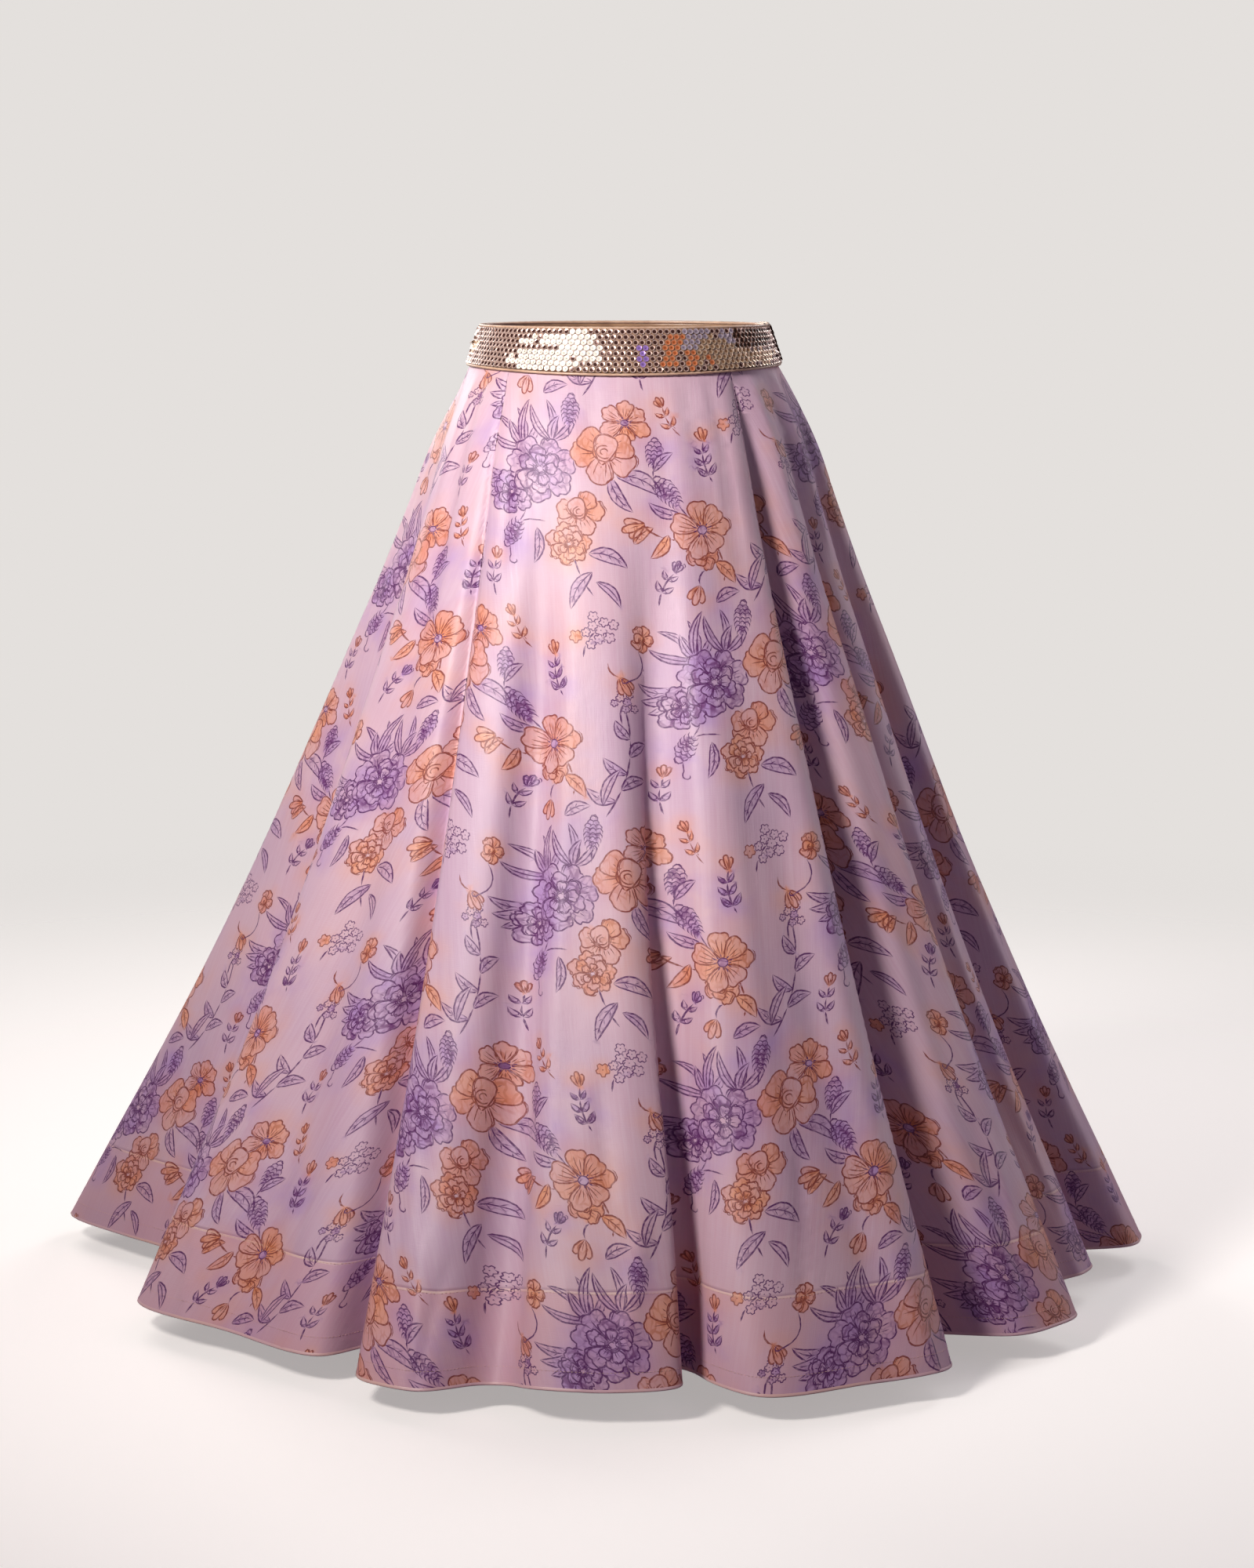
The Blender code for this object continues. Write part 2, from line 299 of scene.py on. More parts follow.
def band_drop(deg):
    """Height of the band at an angle."""
    frontness = np.maximum(0.0, np.cos(np.radians(deg))) ** 2
    return BAND_DROP_SIDE + (BAND_DROP_FRONT - BAND_DROP_SIDE) * frontness


def band_point(deg, down, inset):
    """Points on the band's cone: down is 0 at its top and 1 at its lower edge."""
    slope = math.atan2(HIP_HALF[0] - WAIST_HALF[0], BAND_DROP_SIDE)
    half_width, half_depth = [waist + (hip - waist) * down - inset * math.cos(slope)
                              for waist, hip in zip(WAIST_HALF, HIP_HALF)]
    angle = np.radians(deg)
    return np.stack([half_width * np.sin(angle), -half_depth * np.cos(angle),
                     -band_drop(deg) * down - inset * math.sin(slope)], axis=-1)


def fold_knots():
    """Four knots a fold: edge, crown, edge, valley.  Each is x, y, waist angle, opens, lift."""
    knots = []
    for fold in FOLDS:
        middle = (fold.first + fold.last) / 2.0
        middle_waist = (fold.waist_first + fold.waist_last) / 2.0
        for deg, reach, waist in ((fold.first, fold.reach_first, fold.waist_first),
                                  (middle, fold.crown, middle_waist),
                                  (fold.last, fold.reach_last, fold.waist_last),
                                  (fold.valley, fold.reach_valley, fold.waist_valley)):
            angle = math.radians(deg)
            x, y = reach * math.sin(angle), -reach * math.cos(angle)
            knots.append((x, y, waist, fold.opens, fold.lift))
    return np.array(knots)


def curve_through(p0, p1, p2, p3, u):
    """Points at u between p1 and p2 on a centripetal Catmull-Rom curve."""
    gaps = [math.hypot(*(b - a)[:2]) ** 0.5 for a, b in ((p0, p1), (p1, p2), (p2, p3))]
    t1, t2, t3 = gaps[0], gaps[0] + gaps[1], gaps[0] + gaps[1] + gaps[2]
    t = t1 + (t2 - t1) * u[:, None]
    a1 = p0 + (p1 - p0) * t / t1
    a2 = p1 + (p2 - p1) * (t - t1) / (t2 - t1)
    a3 = p2 + (p3 - p2) * (t - t2) / (t3 - t2)
    b1 = a1 + (a2 - a1) * t / t2
    b2 = a2 + (a3 - a2) * (t - t1) / (t3 - t1)
    return b1 + (b2 - b1) * (t - t1) / (t2 - t1)


def skirt_stations():
    """One row for each fine column of the skirt, all the way round."""
    knots = fold_knots()
    count = len(knots)
    full_turn = np.array([0.0, 0.0, 360.0, 0.0, 0.0])
    u = np.arange(FINE_STEPS) / FINE_STEPS
    runs = []
    for i in range(count):
        near = [knots[j % count] + full_turn * (j // count) for j in (i - 1, i, i + 1, i + 2)]
        runs.append(curve_through(*near, u))
    return np.concatenate(runs)


STATIONS = skirt_stations()
COLUMNS = len(STATIONS)
print("columns round the skirt:", COLUMNS)

# %% The smooth surface


def smooth_through(xs, ys, x):
    """A smooth curve through a short table, read at x."""
    slopes = np.gradient(ys, xs)
    i = np.clip(np.searchsorted(xs, x) - 1, 0, len(xs) - 2)
    width = xs[i + 1] - xs[i]
    t = (x - xs[i]) / width
    return ((2 * t**3 - 3 * t**2 + 1) * ys[i] + (t**3 - 2 * t**2 + t) * width * slopes[i]
            + (3 * t**2 - 2 * t**3) * ys[i + 1] + (t**3 - t**2) * width * slopes[i + 1])


def skirt_surface():
    """The cloth's outer side: an array of columns by rows, from the tucked edge to the hem."""
    hem = STATIONS[:, None, :2]
    waist_deg = STATIONS[:, 2]
    opens = STATIONS[:, 3][:, None, None]
    lift = STATIONS[:, 4][:, None]
    drop = np.linspace(0.0, 1.0, FINE_ROWS)
    spread = smooth_through(DROPS, SPREADS, drop)[None, :, None]
    top = band_point(waist_deg, 1.0, BAND_WALL + BAND_CLEARANCE)[:, None, :]
    even = hem * (MEAN_REACH / np.linalg.norm(hem, axis=2, keepdims=True))
    place = top[..., :2] * (1 - spread) + even * spread + (hem - even) * spread ** opens
    z = top[..., 2] + (-HEM_DROP + lift - top[..., 2]) * drop
    body = np.concatenate([place, z[..., None]], axis=2)
    tucked = band_point(waist_deg, 1.0 - TUCK / band_drop(waist_deg), BAND_WALL + BAND_CLEARANCE)
    return np.concatenate([tucked[:, None, :], body], axis=1)


def outward_normals(surface):
    """Outward directions of a closed surface of columns by rows."""
    round_ = np.roll(surface, -1, axis=0) - np.roll(surface, 1, axis=0)
    down = np.gradient(surface, axis=1)
    return unit(np.cross(down, round_))


def row_lengths(surface):
    """Cloth length round each row, from the first column."""
    steps = np.linalg.norm(np.roll(surface, -1, axis=0) - surface, axis=2)
    return np.concatenate([np.zeros((1, surface.shape[1])), np.cumsum(steps, axis=0)])


FOLD_RADIUS = 0.0045                  # about the sharpest turn that this crisp cloth takes
EVEN_STEP = 0.0015


def read_along(where, lengths, values):
    """Read each column of a table of values at some lengths along a line."""
    return np.stack([np.interp(where, lengths, column) for column in values.T], axis=1)


def rounded(surface):
    """The same surface with the sharpest turns of each row rounded off, by length of cloth."""
    lengths = row_lengths(surface)
    soft = np.empty_like(surface)
    for r in range(surface.shape[1]):
        girth = lengths[-1, r]
        count = int(girth / EVEN_STEP)
        where = np.arange(count + 1) * girth / count
        closed = np.concatenate([surface[:, r], surface[:1, r]])
        even = read_along(where, lengths[:, r], closed)
        waves = np.fft.rfft(even[:-1], axis=0)
        sharpness = np.fft.rfftfreq(count, girth / count)
        waves *= np.exp(-2.0 * (math.pi * sharpness * FOLD_RADIUS) ** 2)[:, None]
        even[:-1] = np.fft.irfft(waves, count, axis=0)
        even[-1] = even[0]
        soft[:, r] = read_along(lengths[:-1, r], where, even)
    return soft


plain_surface = rounded(skirt_surface())
plain_normals = outward_normals(plain_surface)
plain_lengths = row_lengths(plain_surface)
print("hem, measured along the folds:", round(plain_lengths[-1, -1], 3), "m")

# %% [markdown]
# ## Creases
#
# Between its main folds the cloth carries softer creases: small gathers under the band, long
# ripples that fade out, and a few slanting ones low down, where the hem pulls. They are laid one
# by one. Each runs from one place in a fold to another and is a soft ridge or trough a few
# millimetres high.

# %% The creases, laid one by one
# A place is a fold's name and a number: 0 and 2 are its edges, 1 its crown and 3 its valley.
Crease = namedtuple("Crease", "fold start end from_drop to_drop width height")
CREASES = [Crease(*row) for row in (
    # small gathers under the band
    ("centre_right", 1.15, 1.10, .000, .16, .0090, +.0010),
    ("centre_right", 1.40, 1.32, .000, .24, .0090, -.0012),
    ("centre_right", 1.62, 1.55, .000, .20, .0090, +.0012),
    ("centre_right", 0.60, 0.66, .000, .12, .0090, -.0010),
    ("centre", 1.70, 1.62, .000, .13, .0090, +.0010),
    ("centre", 0.50, 0.54, .000, .10, .0090, -.0010),
    ("centre_ridge", 0.85, 0.95, .000, .22, .0074, -.0016),
    ("left_front", 0.45, 0.50, .000, .34, .0095, +.0024),
    ("left_front", 0.95, 1.00, .000, .42, .0095, -.0026),
    ("left_front", 1.45, 1.42, .000, .30, .0088, +.0022),
    ("left_tip", 2.20, 2.30, .000, .30, .0095, -.0024),
    ("right_first", 0.90, 0.80, .000, .24, .0081, +.0022),
    ("right_first", 1.50, 1.45, .000, .18, .0068, -.0018),
    ("right_second", 0.80, 0.90, .000, .22, .0081, +.0020),
    # long soft ripples down the faces
    ("centre_ridge", 3.10, 3.14, .120, 1.10, .0230, -.0165),
    ("centre", 3.10, 3.35, .100, 1.10, .0210, -.0185),
    ("centre_ridge", 1.55, 2.30, .120, .95, .0160, -.0022),
    ("centre", 0.35, 0.25, .200, .82, .0200, -.0024),
    ("centre", 1.30, 1.35, .300, 1.00, .0180, +.0030),
    ("centre_right", 0.45, 0.50, .250, .90, .0170, +.0026),
    ("centre_right", 1.20, 1.28, .380, 1.10, .0160, -.0034),
    ("centre_right", 1.68, 1.64, .300, 1.10, .0140, +.0030),
    ("left_front", 0.62, 0.66, .360, 1.10, .0200, +.0042),
    ("left_front", 1.18, 1.12, .300, 1.10, .0180, -.0044),
    ("left_front", 1.60, 1.66, .420, 1.10, .0150, +.0034),
    ("left_tip", 2.45, 2.52, .380, 1.10, .0180, +.0040),
    ("left_tip", 0.90, 0.95, .200, 1.10, .0160, -.0030),
    ("right_first", 0.55, 0.60, .420, 1.10, .0120, -.0026),
    ("right_first", 1.45, 1.52, .250, .85, .0110, +.0020),
    ("right_second", 0.70, 0.74, .400, 1.10, .0110, +.0026),
    ("right_tip", 0.55, 0.60, .350, 1.10, .0120, -.0028),
    ("right_tip", 1.40, 1.40, .500, 1.10, .0110, +.0024),
    # slanting creases where the hem pulls
    ("left_front", 0.95, 0.45, .700, .88, .0095, +.0022),
    ("left_front", 0.85, 0.40, .730, .92, .0081, -.0018),
    ("left_tip", 2.70, 2.35, .740, .95, .0095, +.0020),
    ("left_front", 1.60, 1.20, .800, 1.02, .0088, -.0020),
    ("left_front", 0.35, 0.70, .860, 1.04, .0081, +.0020),
    ("centre_ridge", 0.70, 1.20, .760, .93, .0081, +.0018),
    ("centre", 1.50, 1.15, .820, 1.00, .0095, +.0022),
    ("centre", 0.80, 1.05, .700, .84, .0081, -.0016),
    ("centre_right", 1.45, 1.80, .850, 1.04, .0088, +.0022),
    ("right_second", 0.40, 0.90, .820, 1.02, .0081, -.0018),
    ("centre_ridge", 1.30, 1.85, .840, 1.00, .0095, +.0022),
    ("centre_ridge", 2.20, 1.70, .870, 1.02, .0081, -.0020),
    ("centre", 0.30, 0.62, .880, 1.02, .0081, +.0018),
    ("centre_right", 0.80, 0.55, .760, .93, .0095, -.0018),
    ("right_first", 1.10, 0.80, .780, .95, .0081, +.0018),
    # the back, where the same cloth hangs the same way
    ("back_right", 0.50, 0.55, .000, .30, .0088, +.0022),
    ("back_right", 1.05, 1.10, .000, .38, .0095, -.0024),
    ("back_right", 1.50, 1.45, .300, 1.10, .0170, +.0036),
    ("back_right", 0.65, 0.60, .420, 1.10, .0180, -.0036),
    ("back_first", 0.45, 0.50, .000, .26, .0081, -.0018),
    ("back_first", 1.30, 1.22, .000, .22, .0074, +.0020),
    ("back_first", 0.80, 0.72, .260, .95, .0190, +.0032),
    ("back_first", 1.55, 1.62, .350, 1.10, .0170, -.0036),
    ("back_first", 1.20, 0.80, .760, .93, .0095, +.0020),
    ("back_second", 0.70, 0.62, .000, .33, .0088, +.0022),
    ("back_second", 1.40, 1.45, .000, .20, .0074, -.0018),
    ("back_second", 0.40, 0.46, .320, 1.10, .0170, -.0034),
    ("back_second", 1.15, 1.10, .240, .90, .0190, +.0034),
    ("back_left", 0.55, 0.60, .000, .28, .0081, -.0020),
    ("back_left", 1.25, 1.20, .000, .36, .0095, +.0022),
    ("back_left", 0.90, 0.96, .340, 1.10, .0180, +.0038),
    ("back_left", 1.60, 1.52, .450, 1.10, .0160, -.0034),
    ("back_left", 1.00, 1.35, .720, .90, .0095, -.0018),
)]
SEAM_DIP = 0.0022                     # how far the cloth rolls in at a seam
SEAM_ROLL = 0.0030                    # and over what width
STEADY_TOP = 0.02                     # the share of the drop where the band holds the cloth flat
FADE_IN = 3.5                         # how quickly a crease grows from its upper end
FADE_OUT = 4.5                        # and dies at its lower one


def column_of(fold, place):
    """The fine column at a place in a fold."""
    return (FOLD_NAMES.index(fold) * KNOTS_PER_FOLD + place) * FINE_STEPS


def relief(lengths):
    """How far each point of the cloth stands out or in, from the creases and the seams."""
    rows = lengths.shape[1]
    drop = np.concatenate([[0.0], np.linspace(0.0, 1.0, FINE_ROWS)])
    columns = np.arange(COLUMNS + 1)
    height = np.zeros((COLUMNS, rows))

    def ridge(centre, width):
        """A soft bump along a line that runs down the cloth, one high."""
        across = np.abs(lengths[:-1] - centre)
        across = np.minimum(across, lengths[-1] - across)
        return np.exp(-(across / width) ** 2)

    for crease in CREASES:
        share = np.clip((drop - crease.from_drop) / (crease.to_drop - crease.from_drop), 0, 1)
        start, end = column_of(crease.fold, crease.start), column_of(crease.fold, crease.end)
        path = start + (end - start) * share
        centre = np.array([np.interp(path[r], columns, lengths[:, r]) for r in range(rows)])
        ends = np.minimum(1.0, FADE_OUT * (1.0 - share))
        if crease.from_drop > 0.0:
            ends = ends * np.minimum(1.0, FADE_IN * share)
        height += crease.height * ends ** 2 * (3 - 2 * ends) * ridge(centre, crease.width)
    for _, _, last_fold in PANELS:
        height -= SEAM_DIP * ridge(lengths[int(column_of(last_fold, 3))], SEAM_ROLL)
    return height * np.minimum(1.0, drop / STEADY_TOP)


cloth_surface = plain_surface + plain_normals * relief(plain_lengths)[..., None]
cloth_normals = outward_normals(cloth_surface)
print("creases laid:", len(CREASES))

# %% [markdown]
# ## Drawing the print
#
# The cloth is printed with ordinary garden flowers, drawn as quick pen lines with loose washes
# of colour. They are drawn here in millimetres on the flat cloth. A drawing is a list of pen
# strokes and a list of washes. When a petal lies in front of others, what it covers is rubbed
# out first, so the flowers read as overlapping petals and not as a tangle.

# %% Pens and washes
Stroke = namedtuple("Stroke", "points width ink")
Wash = namedtuple("Wash", "outline tint strength heart reach")
Drawing = namedtuple("Drawing", "strokes washes")

PURPLE, ORANGE = 0, 1                 # both the inks and the washes come in these two
PEN = 1.55                            # pen width, mm
LONGEST_STEP = 8.0                    # most that two points of a stroke lie apart, mm
SLACK = 0.36                          # how far a stroke may stray from the drawn line, mm
CUT_SLACK = 0.06                      # and a stroke that has been cut short
WANDER = 0.2                          # how far a hand strays, mm
SECOND_LINE = 0.3                     # the chance that a line is gone over again
SECOND_SHIFT = 2.0                    # and how far beside itself, mm
hand = random.Random(5)               # the small unsteadiness of a hand


def thinned(points, slack=SLACK):
    """The same line with only the points that its shape needs, within a slack in mm."""
    points = np.asarray(points, float)
    if len(points) == 2:
        return points
    along = points[-1] - points[0]
    length = math.hypot(*along)
    offset = points - points[0]
    if length > 1e-6:
        away = np.abs(offset[:, 0] * along[1] - offset[:, 1] * along[0]) / length
    else:
        away = np.hypot(offset[:, 0], offset[:, 1])
    far = int(np.argmax(away))
    if away[far] <= slack and length <= LONGEST_STEP:
        return points[[0, -1]]
    if not 0 < far < len(points) - 1:
        far = len(points) // 2
    return np.concatenate([thinned(points[:far + 1], slack)[:-1], thinned(points[far:], slack)])


def with_middle(line):
    """The line, with a point put in its middle where it has only two."""
    return np.array([line[0], line.mean(axis=0), line[1]]) if len(line) == 2 else line


def refined(points):
    """The same line with a point about every millimetre."""
    lengths = running_length(points)
    where = np.union1d(lengths, np.arange(0.0, lengths[-1], 1.0))
    return read_along(where, lengths, points)


def inside(points, outline):
    """Which points lie inside a closed outline."""
    x, y = points[:, 0][:, None], points[:, 1][:, None]
    x0, y0 = outline[:, 0], outline[:, 1]
    x1, y1 = np.roll(x0, -1), np.roll(y0, -1)
    rise = np.where(y1 == y0, 1e-9, y1 - y0)
    crosses = ((y0 > y) != (y1 > y)) & (x < (x1 - x0) * (y - y0) / rise + x0)
    return crosses.sum(axis=1) % 2 == 1


def rub_out(drawing, outline):
    """Remove the parts of the strokes that lie under an outline."""
    kept = []
    low, high = outline.min(axis=0), outline.max(axis=0)
    for stroke in drawing.strokes:
        apart = (stroke.points.max(axis=0) < low) | (stroke.points.min(axis=0) > high)
        fine = stroke.points if apart.any() else refined(stroke.points)
        hidden = np.zeros(1, bool) if apart.any() else inside(fine, outline)
        if not hidden.any():
            kept.append(stroke)
            continue
        edges = np.flatnonzero(np.diff(hidden.astype(int))) + 1
        for run, is_hidden in zip(np.split(fine, edges), np.split(hidden, edges)):
            if not is_hidden[0] and len(run) > 3:
                kept.append(stroke._replace(points=with_middle(thinned(run, CUT_SLACK))))
    drawing.strokes[:] = kept


def ribbon(stroke):
    """The two edges of a stroke, which meet in a point at its ends."""
    line = stroke.points
    along = np.gradient(line, axis=0)
    along /= np.maximum(np.linalg.norm(along, axis=1, keepdims=True), 1e-9)
    side = np.stack([-along[:, 1], along[:, 0]], axis=1)
    half = np.full(len(line), stroke.width / 2.0)
    half[[0, -1]] = 0.0
    return line + side * half[:, None], line - side * half[:, None]


def pen(drawing, points, ink, width=PEN):
    """Draw one line, with the slight wander of a hand."""
    line = with_middle(thinned(points))
    if len(line) > 3:
        line[1:-1] += [(hand.uniform(-WANDER, WANDER), hand.uniform(-WANDER, WANDER))
                       for _ in line[1:-1]]
    drawing.strokes.append(Stroke(line, width, ink))


def wash(drawing, outline, tint, strength=None):
    """Wash the inside of an outline, a little deeper towards its own first point."""
    outline = np.asarray(outline, float)
    if strength is None:
        strength = hand.uniform(0.45, 1.0)
    reach = float(np.linalg.norm(outline - outline[0], axis=1).max())
    drawing.washes.append(Wash(outline, tint, strength, outline[0], reach))


def again(drawing, points, ink):
    """Now and then, go over part of a line a second time, a little beside it."""
    points = np.asarray(points, float)
    count = len(points)
    start = int(count * hand.uniform(0.05, 0.45))
    end = min(count, start + int(count * hand.uniform(0.20, 0.40)))
    if end - start > 3 and hand.random() < SECOND_LINE:
        shift = (hand.choice((-SECOND_SHIFT, SECOND_SHIFT)), hand.uniform(-1.0, 1.0))
        pen(drawing, points[start:end] + shift, ink, width=PEN * 0.7)


def arc_between(a, b, bend, count=12):
    """A bowed line from a to b; bend is its height as a share of its length."""
    a, b = np.asarray(a, float), np.asarray(b, float)
    side = np.array([-(b - a)[1], (b - a)[0]])
    t = np.linspace(0.0, 1.0, count)[:, None]
    return a + (b - a) * t + side * bend * 4.0 * t * (1.0 - t)


def turned(points, deg):
    """Points turned about the origin."""
    angle = math.radians(deg)
    matrix = np.array([[math.cos(angle), math.sin(angle)], [-math.sin(angle), math.cos(angle)]])
    return np.asarray(points, float) @ matrix


def step_from(centre, reach, deg):
    """The point at a distance and a direction from another."""
    return turned([[reach, 0.0]], deg)[0] + centre


def round_line(turns, squash=1.0):
    """Points on a circle one wide at each of the turns, perhaps squashed."""
    return np.stack([np.cos(turns), np.sin(turns) * squash], axis=1)


# %% Petals and leaves


def petal_line(base, deg, length, width, lobes=3, notch=0.10):
    """A petal's outline, pinched at its base; its far edge runs in round lobes of uneven width.

    deg is where the petal points, 90 being up the cloth.
    """
    turn = np.linspace(0.0, 2.0 * math.pi, 56, endpoint=False)
    along = (1.0 - np.cos(turn)) / 2.0
    across = np.sin(turn) * (0.34 + 0.66 * along ** 0.9)
    far = np.clip((turn - 0.42 * math.pi) / (1.16 * math.pi), 0.0, 1.0)
    far += 0.05 * np.sin(2.0 * math.pi * far + hand.uniform(0.0, 6.28)) * (far > 0) * (far < 1)
    edge = 1.0 - notch + notch * np.abs(np.sin(math.pi * lobes * far)) ** 0.8
    points = np.stack([along * length * edge, across * width / 2.0 * edge], axis=1)
    return turned(points, deg) + base


def petal(drawing, base, deg, length, width, ink, tint, lobes=3, notch=0.10, veins=3):
    """A petal in front of what is already drawn, washed, with a few veins."""
    outline = petal_line(base, deg, length, width, lobes, notch)
    rub_out(drawing, outline)
    closed = np.concatenate([outline, outline[:1]])
    pen(drawing, closed, ink)
    again(drawing, closed, ink)
    wash(drawing, outline, tint)
    for k in range(veins):
        lean = (k - (veins - 1) / 2.0) * 0.17 * width
        reach = length * hand.uniform(0.45, 0.78)
        vein = arc_between((length * 0.14, lean * 0.25), (reach, lean), 0.05 * (k - 1), 7)
        pen(drawing, turned(vein, deg) + base, ink, width=PEN * 0.65)


LEAF_WASH = 0.42                      # how strongly a leaf in its pen's own colour is washed
TINTED_LEAF_WASH = 0.8                # and one in a colour of its own
LEAF_POINTS = 14
NARROW_LEAF = 5.0                     # a leaf no wider than this has no middle vein, mm


def leaf(drawing, base, deg, length, width, bend=0.14, veins=3, ink=PURPLE, tint=None):
    """A pointed leaf with a middle vein and some side veins, one side's line heavier."""
    t = np.linspace(0.0, 1.0, LEAF_POINTS)
    rib = arc_between((0.0, 0.0), (length, 0.0), bend, LEAF_POINTS)
    half = width / 2.0 * np.sin(math.pi * t ** 0.85) ** 0.9
    bulge = np.stack([np.zeros(LEAF_POINTS), half], axis=1)
    upper, lower = rib + bulge, rib - bulge
    outline = turned(np.concatenate([upper, lower[::-1][1:-1]]), deg) + base
    rub_out(drawing, outline)
    pen(drawing, turned(upper, deg) + base, ink, width=PEN * 1.1)
    pen(drawing, turned(lower, deg) + base, ink, width=PEN * 0.85)
    strength = LEAF_WASH if tint is None else TINTED_LEAF_WASH
    wash(drawing, outline, ink if tint is None else tint, strength)
    if width > NARROW_LEAF:
        pen(drawing, turned(rib[:-2], deg) + base, ink, width=PEN * 0.8)
    for k in range(veins):
        foot = rib[3 + 3 * k]
        for side in (1.0, -1.0):
            tip = foot + (length * 0.13, side * width * 0.30)
            pen(drawing, turned([foot, tip], deg) + base, ink, width=PEN * 0.6)


def stem(drawing, points, ink=PURPLE):
    """A stalk: one line, gone over again for part of its way."""
    pen(drawing, points, ink, width=PEN * 1.15)
    again(drawing, points, ink)


def bowed_stem(drawing, start, end, bend, ink=PURPLE):
    """A stalk that bows from one place to another."""
    stem(drawing, arc_between(start, end, bend), ink)


# %% Flowers


def peony(drawing, centre, radius, ink, tint, squash=0.88, lean=0.0):
    """A full flower: rings of ruffled petals, smaller and more upright towards the heart."""
    for share, count, plump, start in ((1.00, 7, 0.86, 10.0), (0.72, 6, 0.86, 35.0),
                                       (0.47, 5, 0.90, 5.0)):
        order = sorted(range(count), key=lambda k: -math.sin(math.radians(start + 360 * k / count)))
        for k in order:
            deg = start + 360.0 * k / count + hand.uniform(-8.0, 8.0)
            reach = radius * share * hand.uniform(0.88, 1.10)
            flat = 1.0 - (1.0 - squash) * abs(math.sin(math.radians(deg)))
            base = step_from(centre, reach * 0.16, deg)
            petal(drawing, base, deg + lean, reach * 0.86 * flat, reach * plump, ink, tint,
                  lobes=hand.choice((2, 3, 3)), notch=0.13, veins=2)
    for k in range(4):
        curl = np.linspace(0.4, 4.8, 12)
        size = radius * (0.08 + 0.045 * k)
        pen(drawing, round_line(curl + k, squash) * size + centre, ink, width=PEN * 0.8)


def anemone(drawing, centre, radius, ink=ORANGE, tint=ORANGE, petals=6, turn=12.0, squash=0.82):
    """An open flower: broad notched petals with long veins, and a dotted eye."""
    for k in list(range(0, petals, 2)) + list(range(1, petals, 2)):
        deg = turn + 360.0 * k / petals + hand.uniform(-9.0, 9.0)
        flat = 1.0 - (1.0 - squash) * abs(math.sin(math.radians(deg)))
        base = step_from(centre, radius * 0.12, deg)
        petal(drawing, base, deg, radius * hand.uniform(0.84, 1.04) * flat, radius * 0.90, ink,
              tint, lobes=hand.choice((2, 3)), notch=0.12, veins=4)
    eye = round_line(np.linspace(0.0, 2.0 * math.pi, 15), squash) * radius * 0.16 + centre
    rub_out(drawing, eye)
    pen(drawing, eye, PURPLE, width=PEN * 0.8)
    wash(drawing, eye[:-1], PURPLE, 1.0)
    for k in range(11):
        angle = 2.4 * k
        spot = np.array([math.cos(angle), math.sin(angle) * squash])
        foot = spot * radius * 0.17 + centre
        tip = spot * radius * (0.26 + 0.014 * k) + centre
        pen(drawing, [foot, tip], PURPLE, width=PEN)


def rose(drawing, centre, radius, ink=ORANGE, tint=ORANGE, turn=0.0):
    """A half-open rose: outer petals that cup a spiral of inner ones."""
    for k, deg in enumerate((200.0, 340.0, 270.0, 150.0, 30.0)):
        base = step_from(centre, radius * 0.06, deg + turn)
        petal(drawing, base, deg + turn, radius * (1.0 if k < 3 else 0.88), radius * 1.12, ink,
              tint, lobes=hand.choice((2, 3)), notch=0.09, veins=3)
    petal(drawing, np.array(centre) - turned([[0.0, radius * 0.42]], turn)[0], 90.0 + turn,
          radius * 1.02, radius * 0.98, ink, tint, lobes=2, notch=0.06, veins=0)
    for k in range(3):
        spiral = round_line(np.linspace(0.2 + k, 4.6 + k, 14), 0.85) * radius * (0.12 + 0.12 * k)
        pen(drawing, turned(spiral, turn) + centre, ink, width=PEN * 0.9)


def bud(drawing, base, deg, length, ink=ORANGE, tint=ORANGE):
    """A tulip-shaped bud of three petals."""
    for lean, size in ((24.0, 0.86), (-24.0, 0.86), (0.0, 1.0)):
        petal(drawing, base, deg + lean, length * size, length * 0.46, ink, tint, lobes=1,
              notch=0.02, veins=1)


def floret(drawing, centre, radius, ink=PURPLE, tint=None):
    """A small five-petalled blossom: one lobed line round a dot."""
    turn = np.linspace(0.0, 2.0 * math.pi, 15, endpoint=False)
    lobes = radius * (0.84 - 0.20 * np.cos(5 * turn))
    start = hand.uniform(0.0, 1.2)
    line = round_line(turn + start) * lobes[:, None] + centre
    drawing.strokes.append(Stroke(np.concatenate([line, line[:1]]), PEN * 0.8, ink))
    if tint is not None:
        wash(drawing, line, tint)
    middle = np.array(centre)
    pen(drawing, [middle - (0.7, 0.0), middle + (0.7, 0.3)], ink)


GOLDEN_ANGLE = 137.5                  # degrees from one blossom to the next, as plants grow them


def blossom_cluster(drawing, centre, radius, count, ink=PURPLE, tint=PURPLE, tail=270.0):
    """Small blossoms crowded on a stalk, as lilac or phlox carries them."""
    foot = step_from(centre, radius * 1.55, tail)
    bowed_stem(drawing, foot, centre, 0.12, ink)
    leaf(drawing, (foot + centre) / 2.0, tail + 130.0, radius * 0.75, radius * 0.26, 0.10, 3, ink)
    for k in range(count):
        place = step_from(centre, radius * 0.86 * math.sqrt((k + 0.3) / count), GOLDEN_ANGLE * k)
        size = radius * hand.uniform(0.24, 0.33)
        rub_out(drawing, round_line(np.linspace(0.0, 2.0 * math.pi, 12)) * size * 0.9 + place)
        floret(drawing, place, size, ink, tint if k % 2 == 0 else None)


